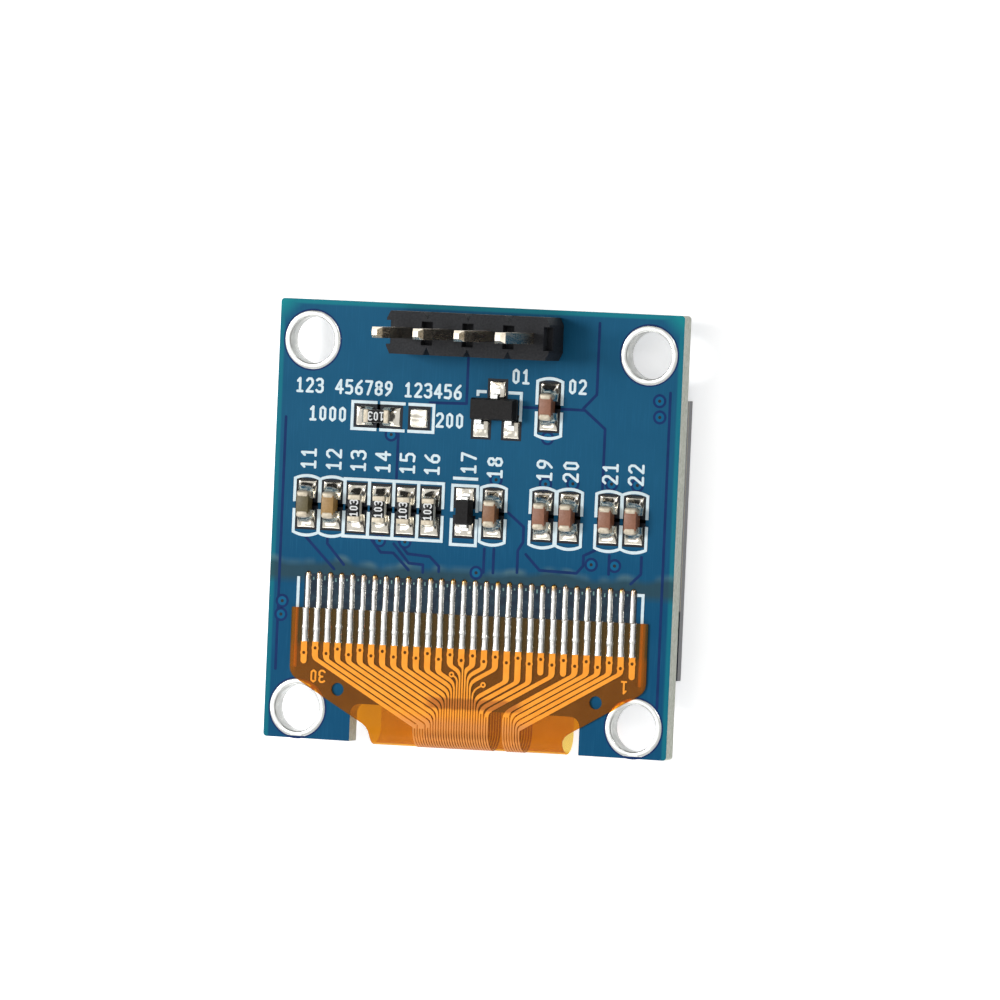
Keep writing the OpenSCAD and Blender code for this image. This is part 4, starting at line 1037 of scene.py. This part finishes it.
@dataclass
class ChipSolder:
    """The solder joints of all the chips, and the bare pad beside the address resistor."""

    joints: list[Joint]
    spare: Box
    film: float = 0.045
    steps: int = 26

    def build(self) -> Piece:
        """All the joints in one piece.

        Returns:
            The finished piece.
        """
        shape = Shape()
        for k, joint in enumerate(self.joints):
            shape.patch(lambda u, v: self.point(u, v, joint, k), self.steps, self.steps)
        shape.patch(self.spare_point, self.steps, self.steps)
        return Piece("chip_solder_joints", shape, REFLOWED, "solder", ["chip_solder"])

    def point(self, u: float, v: float, joint: Joint, k: int) -> Vector:
        """A point on a joint: a fillet that climbs the metal end on three sides.

        Args:
            u: From -1 to 1 across the pad.
            v: From -1, under the chip, to 1 at the pad's outer end.
            joint: The joint.
            k: The joint's number, which picks its ripples.

        Returns:
            The point.
        """
        x = u * joint.pad_w / 2 * math.sqrt(1 - 0.06 * v * v)
        y = (v + 1) / 2 * (joint.pad_reach + joint.under) - joint.under
        side = max(0.0, abs(x) - joint.end_w * 0.42) / max(0.05, joint.pad_w / 2 - joint.end_w * 0.42)
        ahead = max(0.0, y) / joint.pad_reach
        away = min(1.0, math.hypot(side * 0.9, ahead))
        # A concave fillet on the end's face; the pad's outer corners stay flat
        narrow = math.exp(-((abs(x) / (joint.end_w * 0.5)) ** 4)) if y > 0 else 1.0
        rise = joint.end_h * 0.75 * (1 - away) ** 2.4 * (0.35 + 0.65 * narrow)
        bulge = 0.035 * math.sin(math.pi * min(1.0, away)) * (1 + 0.9 * ripple(x, y, k, 0.35))
        rim = min(1.0, (1 - abs(u)) * 9) * min(1.0, (1 - abs(v)) * 11)
        shelf = math.sqrt(max(0.0, 1 - (1 - rim) ** 2))
        z = FACE_Z + (self.film + rise + bulge + 0.006 * ripple(x, y, k + 40, 0.25)) * shelf
        turn = Matrix.Rotation(joint.heading, 3, "Z")
        return turn @ Vector((x, y, 0)) + Vector((joint.x, joint.y, z if shelf else FACE_Z))

    def spare_point(self, u: float, v: float) -> Vector:
        """A point on the bare pad's two flat domes of solder.

        Args:
            u: From -1 to 1 across.
            v: From -1 to 1 along.

        Returns:
            The point.
        """
        half = self.spare.size / 2
        x = self.spare.centre.x + u * half.x * math.sqrt(1 - 0.08 * v * v)
        y = self.spare.centre.y + v * half.y * math.sqrt(1 - 0.08 * u * u)
        rim = min(1.0, (1 - abs(u)) * 5) * min(1.0, (1 - abs(v)) * 5)
        dome = 0.07 * (1 - 0.5 * math.exp(-((v / 0.25) ** 2))) + 0.04 * ripple(x, y, 9, 0.4)
        return Vector((x, y, FACE_Z + (self.film + dome) * math.sqrt(max(0.0, 1 - (1 - rim) ** 2))))


class Ceramic(Enum):
    """The brown of each capacitor, by its place."""

    OLIVE = CERAMIC_OLIVE
    TAN = CERAMIC_TAN
    BROWN = CERAMIC_BROWN
    RED = CERAMIC_RED


@dataclass
class Chip:
    """A chip capacitor or resistor: a body and two metal ends that stand a little proud of it."""

    kind: str
    number: int
    finish: Finish
    end_r: float = 0.09
    body_r: float = 0.03

    @property
    def ends(self) -> Box:
        """The box over the chip's metal ends."""
        return Box.of(f"{self.kind}_ends_{self.number}")

    @property
    def body(self) -> Box:
        """The box of the chip's body."""
        return Box.of(f"{self.kind}_{self.number}")

    @property
    def lies_across(self) -> bool:
        """True if the chip lies along the board's width."""
        return self.ends.size.x > self.ends.size.y

    def joints(self, pad_w: float, pad_reach: float) -> list[Joint]:
        """The chip's two solder joints.

        Args:
            pad_w: Width of a pad.
            pad_reach: Length of a pad past the chip's end.

        Returns:
            One joint for each end.
        """
        box = self.ends
        found = []
        for sign in (-1, 1):
            if self.lies_across:
                place = (box.centre.x + sign * box.size.x / 2, box.centre.y, -sign * math.pi / 2, box.size.y)
            else:
                place = (box.centre.x, box.centre.y + sign * box.size.y / 2, 0.0 if sign > 0 else math.pi, box.size.x)
            found.append(Joint(*place, box.size.z, pad_w, pad_reach))
        return found

    def build(self) -> list[Piece]:
        """The body and the pair of ends.

        Returns:
            The two pieces.
        """
        ends, body = self.ends, self.body
        axis = 0 if self.lies_across else 1
        length = (ends.size[axis] - body.size[axis]) / 2
        caps = Shape()
        for sign in (-1, 1):
            centre = ends.centre.copy()
            centre[axis] += sign * (ends.size[axis] - length) / 2
            size = ends.size.copy()
            size[axis] = length
            caps.block(centre, size, self.end_r, 5)
        core = Shape()
        size = body.size.copy()
        size[axis] += length
        core.block(body.centre, size, self.body_r, 2)
        slot = "capacitor_ceramic" if self.kind == "capacitor" else "resistor_coat"
        return [
            Piece(f"{self.kind}_body_{self.number}", core, self.finish, slot, [f"{self.kind}_{self.number}"]),
            Piece(f"{self.kind}_caps_{self.number}", caps, CHIP_END, "chip_end", [f"{self.kind}_ends_{self.number}"]),
        ]


@dataclass
class Digits:
    """Plain numbers drawn with a round pen."""

    height: float
    pen: float
    pitch: float = 0.78

    GLYPHS = {
        "0": [[(0.12, 0.85), (0.3, 1), (0.5, 0.85), (0.5, 0.15), (0.3, 0), (0.12, 0.15), (0.12, 0.85)]],
        "1": [[(0.14, 0.8), (0.32, 1), (0.32, 0)], [(0.12, 0), (0.52, 0)]],
        "2": [[(0.08, 0.85), (0.22, 1), (0.42, 1), (0.54, 0.85), (0.54, 0.62), (0.08, 0), (0.56, 0)]],
        "3": [[(0.08, 0.9), (0.22, 1), (0.42, 1), (0.54, 0.88), (0.54, 0.64), (0.4, 0.52), (0.26, 0.52)],
              [(0.4, 0.52), (0.56, 0.4), (0.56, 0.14), (0.42, 0), (0.2, 0), (0.06, 0.12)]],
        "4": [[(0.44, 0), (0.44, 1), (0.06, 0.3), (0.6, 0.3)]],
        "5": [[(0.52, 1), (0.12, 1), (0.1, 0.56), (0.4, 0.6), (0.55, 0.44), (0.55, 0.16), (0.4, 0), (0.08, 0.04)]],
        "6": [[(0.5, 1), (0.24, 0.74), (0.08, 0.4), (0.1, 0.12), (0.24, 0), (0.42, 0), (0.54, 0.14),
               (0.54, 0.4), (0.4, 0.52), (0.14, 0.5)]],
        "7": [[(0.08, 1), (0.56, 1), (0.24, 0)]],
        "8": [[(0.32, 0.53), (0.1, 0.68), (0.12, 0.9), (0.32, 1), (0.52, 0.9), (0.54, 0.68), (0.32, 0.53),
               (0.08, 0.36), (0.1, 0.1), (0.32, 0), (0.54, 0.1), (0.56, 0.36), (0.32, 0.53)]],
        "9": [[(0.14, 0), (0.4, 0.26), (0.54, 0.58), (0.54, 0.86), (0.4, 1), (0.22, 1), (0.1, 0.86),
               (0.1, 0.6), (0.24, 0.48), (0.5, 0.5)]],
    }

    def write(self, shape: Shape, text: str, at: Point, turn: float, z: float, thick: float) -> None:
        """Draws a number, centred on a place.

        Args:
            shape: Takes the strokes.
            text: Digits and spaces.
            at: The middle of the number.
            turn: Direction of the line of text, in degrees.
            z: Height of the print's underside.
            thick: Thickness of the print.
        """
        spin = Matrix.Rotation(math.radians(turn), 2)
        advance = self.pitch * self.height
        start = Vector((-(len(text) - 1) * advance / 2 - 0.32 * self.height, -self.height / 2))
        for k, sign in enumerate(text):
            for path in self.GLYPHS.get(sign, []):
                line = [spin @ (start + Vector((k * advance, 0)) + Vector(p) * self.height) for p in path]
                shape.stroke([(at[0] + p.x, at[1] + p.y) for p in line], self.pen, z, thick)


@dataclass
class BoardPrint:
    """Plain numbers in white ink beside the chips, where such a board is lettered."""

    row_y: float = 3.6
    thick: float = 0.018

    def build(self) -> Piece:
        """All the printed numbers in one piece.

        Returns:
            The finished piece.
        """
        shape = Shape()
        small = Digits(0.86, 0.15, 0.82)
        tags = [f"capacitor_{k}" for k in (1, 2)] + [f"resistor_{k}" for k in range(1, 5)]
        tags += ["diode_body"] + [f"capacitor_{k}" for k in range(3, 8)]
        for k, node in enumerate(tags):
            lift = 0.2 if node == "diode_body" else 0.0
            small.write(shape, str(k + 11), (Box.of(node).centre.x, self.row_y + lift), 90, FACE_Z, self.thick)
        level = Digits(0.76, 0.15, 0.82)
        level.write(shape, "01", (2.65, 9.05), 0, FACE_Z, self.thick)
        level.write(shape, "02", (6.2, 8.6), 0, FACE_Z, self.thick)
        level.write(shape, "123 456789 123456", (-6.25, 7.95), 0, FACE_Z, self.thick)
        level.write(shape, "1000", (-9.4, 6.3), 0, FACE_Z, self.thick)
        level.write(shape, "200", (-1.7, 6.25), 0, FACE_Z, self.thick)
        return Piece("printed_numbers", shape, INK, "white_ink", smooth=False)


@dataclass
class ResistorCodes:
    """The plain value code on each resistor."""

    code: str = "103"
    resistors: Sequence[int] = (1, 2, 3, 4, 5)

    def build(self) -> Piece:
        """All the codes in one piece.

        Returns:
            The finished piece.
        """
        shape = Shape()
        pen = Digits(0.46, 0.08, 0.78)
        for k in self.resistors:
            body = Box.of(f"resistor_{k}")
            turn = 180 if body.size.x > body.size.y else 90
            pen.write(shape, self.code, (body.centre.x, body.centre.y), turn, body.high.z, 0.006)
        return Piece("resistor_codes", shape, MARKING, "white_ink", smooth=False)


@dataclass
class Tracks:
    """What the etched copper shows through the mask: gaps in the copper, tracks, and holes between the layers."""

    gap_w: float = 0.17
    track_w: float = 0.3
    thick: float = 0.004

    GAPS: tuple[tuple[Point, ...], ...] = (
        ((-0.7, 10.0), (-0.7, 7.3), (-3.0, 7.25)),
        ((7.4, 12.4), (7.4, 8.2), (6.6, 7.35)),
        ((2.9, 7.25), (6.7, 7.25), (8.0, 6.2), (8.0, 2.7)),
        ((-4.9, 5.3), (-4.9, 2.7)),
        ((-10.6, -0.95), (-8.6, -2.9)),
        ((-9.1, -0.95), (-9.1, -1.4), (-8.0, -2.6)),
        ((-6.3, -1.05), (-5.7, -1.75), (-4.9, -1.75), (-3.9, -2.7)),
        ((-4.6, -1.05), (-4.0, -1.75), (-2.6, -1.85), (-2.0, -2.4), (-2.0, -2.7)),
        ((-4.9, -1.2), (-3.9, -2.3), (-3.0, -2.35), (-3.0, -2.8)),
        ((2.2, 1.0), (3.2, 0.2), (3.2, -0.7), (2.9, -1.2), (2.9, -2.5)),
        ((0.8, -1.2), (0.8, -2.6)),
        ((1.4, -1.2), (1.4, -2.6)),
        ((3.4, -1.4), (4.3, -2.3), (6.6, -2.35), (7.0, -1.9), (7.0, -1.3), (7.8, -0.9)),
        ((8.6, -1.2), (8.6, -2.3)),
        ((10.6, -1.2), (10.6, -2.2), (10.0, -2.8)),
        ((-12.05, 6.0), (-12.05, -9.0)),
        ((11.95, 8.5), (11.95, -10.0)),
    )
    VIAS: tuple[Point, ...] = (
        (-5.35, 5.25), (4.45, 5.5), (-5.8, -1.05), (-4.2, -1.05), (1.35, 2.9), (4.45, 2.8), (6.15, 2.9),
        (8.55, 3.0), (10.15, 3.0), (0.35, -2.65), (7.5, -1.8), (8.95, -1.8), (11.3, 8.0), (11.35, 7.05),
        (-11.8, -4.95), (-11.85, -5.75),
    )

    def build(self) -> list[Piece]:
        """The gaps, the rings of the small holes and their dark middles.

        Returns:
            The finished pieces.
        """
        gaps, holes = Shape(), Shape()
        for path in self.GAPS:
            gaps.stroke(path, self.gap_w, FACE_Z, self.thick)
        for x, y in self.VIAS:
            ring = [(x + 0.42 * math.cos(a), y + 0.42 * math.sin(a)) for a in self.angles()]
            gaps.slab(ring, FACE_Z, self.thick * 0.8)
            land = [(x + 0.27 * math.cos(a), y + 0.27 * math.sin(a)) for a in self.angles()]
            holes.slab(land, FACE_Z, self.thick * 1.6)
        pits = Shape()
        for x, y in self.VIAS:
            pits.slab([(x + 0.1 * math.cos(a), y + 0.1 * math.sin(a)) for a in self.angles()], FACE_Z, self.thick * 2.2)
        return [
            Piece("pour_gaps", gaps, BARE_MASK, "solder_mask", smooth=False),
            Piece("via_lands", holes, TRACK_MASK, "solder_mask", smooth=False),
            Piece("via_holes", pits, PAD_GAP_AND_SHADE, "solder_mask", smooth=False),
        ]

    def angles(self) -> list[float]:
        """Angles of a small disc's rim."""
        return [2 * math.pi * k / 20 for k in range(20)]


@dataclass
class MaskOpenings:
    """Dark laminate that shows round the pads and between the fingers; round the pads it is darkened further as painted
    shade beside the chips.
    """

    rim: float = 0.13
    thick: float = 0.008

    def build(self, joints: Sequence[Joint], spare: Box) -> list[Piece]:
        """The openings of all the pads, and those round the mounting rings.

        Args:
            joints: The chips' solder joints.
            spare: The box of the bare pad.

        Returns:
            The finished pieces.
        """
        shape, rim = Shape(), Shape()
        for joint in joints:
            turn = Matrix.Rotation(joint.heading, 2)
            half = joint.pad_w / 2 + self.rim
            corners = [(-half, -joint.under - 0.4), (half, -joint.under - 0.4),
                       (half, joint.pad_reach + self.rim), (-half, joint.pad_reach + self.rim)]
            placed = [turn @ Vector(c) for c in corners]
            shape.slab([(joint.x + p.x, joint.y + p.y) for p in placed], FACE_Z, self.thick)
        shape.slab(self.rectangle(spare.low, spare.high, self.rim), FACE_Z, self.thick)
        for ring in (Box.of(f"mount_eyelet_{k}") for k in range(1, 5)):
            centre = (ring.centre.x, ring.high.y - 1.75)
            rim.annulus(centre, 1.6, min(1.84, BOARD.high.x - abs(centre[0])), FACE_Z, self.thick)
        return [
            # The pads' openings are partly painted shade: their near-black tone also stands for the shade beside the
            # chips
            Piece("mask_openings", shape, PAD_GAP_AND_SHADE, "solder_mask", smooth=False),
            Piece("ring_openings", rim, BARE_MASK, "solder_mask", smooth=False),
        ]

    def finger_bed(self) -> list[Piece]:
        """The opening under the row of fingers, glazed with clear flux, and the beads of flux caught in it.

        Returns:
            The finished pieces.
        """
        bed, beads = Shape(), Shape()
        row = Box.of("board_fingers")
        bed.slab(self.rectangle(row.low, row.high - Vector((0, 0.2, 0)), 0.06), FACE_Z, self.thick * 1.5)
        pitch = (row.size.x - 0.35) / (FINGER_COUNT - 1)
        for i in range(FINGER_COUNT - 1):
            x = row.centre.x + (i + 1 - FINGER_COUNT / 2) * pitch
            y = row.high.y - 0.42 + 0.04 * math.sin(i * 2.1)
            long = 0.09 + 0.03 * math.sin(i * 1.3)
            beads.patch(
                lambda u, v: Vector((
                    x + 0.045 * u, y + long * v, FACE_Z + 0.012 + 0.04 * max(0.0, (1 - u * u) * (1 - v * v)) ** 0.5
                )),
                6, 8,
            )
        return [
            Piece("finger_bed", bed, GLAZED_GAP, "solder_mask", smooth=False),
            Piece("flux_beads", beads, FLUX_BEAD, "solder_mask"),
        ]

    def rectangle(self, low: Vector, high: Vector, rim: float) -> list[Point]:
        """Corners of a box's plan, widened by a rim."""
        return [
            (low.x - rim, low.y - rim), (high.x + rim, low.y - rim),
            (high.x + rim, high.y + rim), (low.x - rim, high.y + rim),
        ]


@dataclass
class FilmNumbers:
    """The plain end numbers etched in the flexible circuit's copper."""

    height: float = 0.68
    pen: float = 0.11

    def build(self) -> Piece:
        """Both numbers in one piece.

        Returns:
            The finished piece.
        """
        shape = Shape()
        film = Box.of("flex_film")
        top = film.high.z
        Digits(self.height, self.pen, 0.8).write(shape, "30", (-9.3, -9.3), 180, top, 0.012)
        Digits(self.height, self.pen).write(shape, "1", (9.9, -8.9), 180, top, 0.012)
        return Piece("film_numbers", shape, COPPER, "copper", smooth=False)


# --------------------------------------------------------------------------- studio


@dataclass
class Studio:
    """A pale floor, soft light and the camera."""

    aim: Vector = field(default_factory=lambda: Vector((1.65, 1.72, FACE_Z)))
    distance: float = 539.28
    lean: float = 19.416
    tip: float = 1.651
    roll: float = 2.458
    lens: float = 329.18
    floor_size: float = 3000.0

    def build(self) -> None:
        """Makes the floor, the lamps, the world and the camera."""
        self.floor()
        self.cards()
        self.world()
        self.lamps()
        self.camera()
        bpy.context.scene.view_settings.view_transform = "Standard"

    def whiteout(self, tree: bpy.types.NodeTree) -> bpy.types.NodeSocket:
        """1 for the rays that should meet a plain white background."""
        path = add(tree, "ShaderNodeLightPath")
        shiny = add(
            tree, "ShaderNodeMath",
            {0: path.outputs["Is Glossy Ray"], 1: path.outputs["Is Transmission Ray"]}, operation="MAXIMUM",
        )
        seen = add(
            tree, "ShaderNodeMath", {0: path.outputs["Is Camera Ray"], 1: shiny.outputs[0]}, operation="MAXIMUM"
        )
        return seen.outputs[0]

    def floor(self) -> None:
        """A white floor that keeps the object's shadow."""
        half = self.floor_size / 2 * MM
        mesh = bpy.data.meshes.new("floor")
        z = -0.02 * MM
        mesh.from_pydata([(-half, -half, z), (half, -half, z), (half, half, z), (-half, half, z)], [], [(0, 1, 2, 3)])
        thing = bpy.data.objects.new("floor", mesh)
        bpy.context.scene.collection.objects.link(thing)
        made = bpy.data.materials.new("white_paper_floor")
        made.use_nodes = True
        tree = made.node_tree
        tree.nodes.clear()
        paper = add(tree, "ShaderNodeBsdfDiffuse", {"Color": (0.9, 0.9, 0.9, 1.0)})
        glow = add(tree, "ShaderNodeEmission", {"Color": (1.0, 1.0, 1.0, 1.0), "Strength": 0.6})
        seen = add(tree, "ShaderNodeMixShader", {0: self.whiteout(tree), 1: paper.outputs[0]})
        both = add(tree, "ShaderNodeAddShader", {0: paper.outputs[0], 1: glow.outputs[0]})
        tree.links.new(both.outputs[0], seen.inputs[2])
        add(tree, "ShaderNodeOutputMaterial", {"Surface": seen.outputs[0]})
        mesh.materials.append(made)

    def cards(self) -> None:
        """Two dark cards, behind and at the right, that give the bright metal its dark side."""
        self.card("back_card", [(-600, 430, 10), (170, 430, 10), (170, 430, 480), (-600, 430, 480)], 0.03)
        self.card("right_card", [(470, 430, 10), (470, -300, 10), (470, -300, 560), (470, 430, 560)], 0.12)

    def card(self, name: str, corners: list[tuple[float, float, float]], tone: float) -> None:
        """Adds a card that only reflections show.

        Args:
            name: Its name.
            corners: Its four corners.
            tone: How much light it gives back.
        """
        mesh = bpy.data.meshes.new(name)
        mesh.from_pydata([Vector(c) * MM for c in corners], [], [(0, 1, 2, 3)])
        made = bpy.data.materials.new(name + "_felt")
        made.use_nodes = True
        made.node_tree.nodes.clear()
        felt = add(made.node_tree, "ShaderNodeBsdfDiffuse", {"Color": (tone, tone, tone, 1.0)})
        add(made.node_tree, "ShaderNodeOutputMaterial", {"Surface": felt.outputs[0]})
        mesh.materials.append(made)
        thing = bpy.data.objects.new(name, mesh)
        thing.visible_camera = False
        bpy.context.scene.collection.objects.link(thing)

    def world(self) -> None:
        """A grey room, brighter in front of the board than behind it."""
        world = bpy.data.worlds.new("room")
        bpy.context.scene.world = world
        world.use_nodes = True
        tree = world.node_tree
        tree.nodes.clear()
        where = add(tree, "ShaderNodeTexCoord")
        axes = add(tree, "ShaderNodeSeparateXYZ", {0: where.outputs["Generated"]})
        level = add(
            tree, "ShaderNodeMapRange",
            {"Value": axes.outputs["Y"], "From Min": 0.5, "From Max": -0.7, "To Min": 0.1, "To Max": 0.7},
        )
        room = add(
            tree, "ShaderNodeBackground", {"Color": (1.0, 1.0, 1.0, 1.0), "Strength": level.outputs["Result"]}
        )
        white = add(tree, "ShaderNodeBackground", {"Color": (1.0, 1.0, 1.0, 1.0), "Strength": 1.0})
        both = add(tree, "ShaderNodeMixShader", {0: self.whiteout(tree), 1: room.outputs[0], 2: white.outputs[0]})
        add(tree, "ShaderNodeOutputWorld", {"Surface": both.outputs[0]})

    def lamps(self) -> None:
        """Soft boxes: the key at the left, one overhead, a wide one in front, and weaker ones around."""
        self.lamp("key_box", (-330.0, 60.0, 420.0), (160.0, 160.0), 1.7)
        self.lamp("top_box", (-165.0, -15.0, 470.0), (240.0, 240.0), 0.18)
        self.lamp("front_box", (-40.0, -480.0, 200.0), (520.0, 200.0), 0.8)
        self.lamp("back_box", (200.0, 205.0, 475.0), (90.0, 90.0), 0.25)

    def lamp(self, name: str, place: tuple[float, float, float], size: tuple[float, float], watts: float) -> None:
        """Adds a rectangular soft box that looks at the board.

        Args:
            name: Its name.
            place: Its place.
            size: Its two sides.
            watts: Its power.
        """
        light = bpy.data.lights.new(name, "AREA")
        light.shape = "RECTANGLE"
        light.size, light.size_y = size[0] * MM, size[1] * MM
        light.energy = watts
        thing = bpy.data.objects.new(name, light)
        bpy.context.scene.collection.objects.link(thing)
        thing.location = Vector(place) * MM
        thing.rotation_mode = "QUATERNION"
        thing.rotation_quaternion = (-Vector(place)).to_track_quat("-Z", "Y")

    def camera(self) -> None:
        """A long lens that looks down on the board from its right."""
        data = bpy.data.cameras.new("camera")
        data.lens = self.lens
        data.sensor_width = 36.0
        data.clip_start, data.clip_end = 0.05, 10.0
        thing = bpy.data.objects.new("camera", data)
        bpy.context.scene.collection.objects.link(thing)
        lean, tip, roll = math.radians(self.lean), math.radians(self.tip), math.radians(self.roll)
        back = Vector((math.sin(lean) * math.cos(tip), math.sin(tip), math.cos(lean) * math.cos(tip)))
        level = Vector((math.cos(lean), 0.0, -math.sin(lean)))
        right = math.cos(roll) * level + math.sin(roll) * back.cross(level)
        turn = Matrix((right, back.cross(right), back)).transposed()
        thing.matrix_world = Matrix.Translation((self.aim + back * self.distance) * MM) @ turn.to_4x4()
        bpy.context.scene.camera = thing


# ----------------------------------------------------------------------------- main


def dressed_nodes() -> dict[str, Finish]:
    """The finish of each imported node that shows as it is."""
    finishes = {
        "circuit_board": MASK, "header_pads": LEVELLED, "silkscreen": INK, "panel_glass": GLASS,
        "cap_glass": GLASS, "polariser": POLARISER, "emitter_layer": CATHODE, "seal_frame": GLUE,
        "desiccant": DRYER, "driver_chip": SILICON, "chip_sealant": SEALANT, "mount_tape": FOAM,
        "flex_film": FILM, "flex_traces": COPPER, "header_housing": HOUSING, "header_solder": REFLOWED,
        "diode_body": EPOXY, "diode_leads": LEAD, "transistor_body": EPOXY, "transistor_leads": LEAD,
    }
    finishes |= {f"header_pin_{k}": GOLD for k in range(1, 5)}
    return finishes


def package_joints() -> list[Joint]:
    """The solder joints of the diode and the transistor."""
    diode = Box.of("diode_leads")
    # The diode sits a little to the right of its pads
    found = [
        Joint(diode.centre.x - 0.15, diode.centre.y + s * diode.size.y / 2, 0.0 if s > 0 else math.pi,
              0.42, 0.13, 1.16, 0.33)
        for s in (-1, 1)
    ]
    leads = Box.of("transistor_leads")
    for across, sign in ((0.0, 1), (-0.95, -1), (0.95, -1)):
        edge = leads.centre.y + sign * leads.size.y / 2
        found.append(Joint(leads.centre.x + across, edge, 0.0 if sign > 0 else math.pi, 0.42, 0.13, 1.0, 0.48))
    return found


def main() -> None:
    """Builds the module's looks in order, and reports each piece."""
    logging.basicConfig(level=logging.INFO, format="%(name)s: %(message)s")
    CadDress(dressed_nodes()).build()
    chips = [
        Chip("capacitor", k + 1, tone.value, end_r=0.17)
        for k, tone in enumerate([Ceramic.OLIVE, Ceramic.TAN, Ceramic.BROWN, *[Ceramic.RED] * 5])
    ]
    chips += [Chip("resistor", k, RESISTOR, end_r=0.06) for k in range(1, 6)]
    joints = [joint for chip in chips for joint in chip.joints(1.16, 0.6)] + package_joints()
    spare_x, spare_y = -3.63, Box.of("resistor_5").centre.y
    spare = Box(Vector((spare_x - 0.57, spare_y - 0.58, FACE_Z)), Vector((spare_x + 0.57, spare_y + 0.58, FACE_Z)))

    pieces = [MountRing(f"mount_eyelet_{k}", k).build() for k in range(1, 5)]
    pieces += [piece for chip in chips for piece in chip.build()]
    pieces.append(ChipSolder(joints, spare).build())
    openings = MaskOpenings()
    pieces += openings.build(joints, spare) + openings.finger_bed()
    pieces.append(SolderBars("board_fingers", "board_finger_solder", 0.35, 0.12, 3.0, 0.12).build())
    pieces.append(SolderBars("flex_fingers", "film_finger_solder", 0.43, 0.1, 5.0, 0.14, FLEX_TURN, True).build())
    pieces += Tracks().build()
    pieces += [BoardPrint().build(), ResistorCodes().build(), FilmNumbers().build()]
    for piece in pieces:
        piece.build()
    Studio().build()


if __name__ == "__main__":
    main()
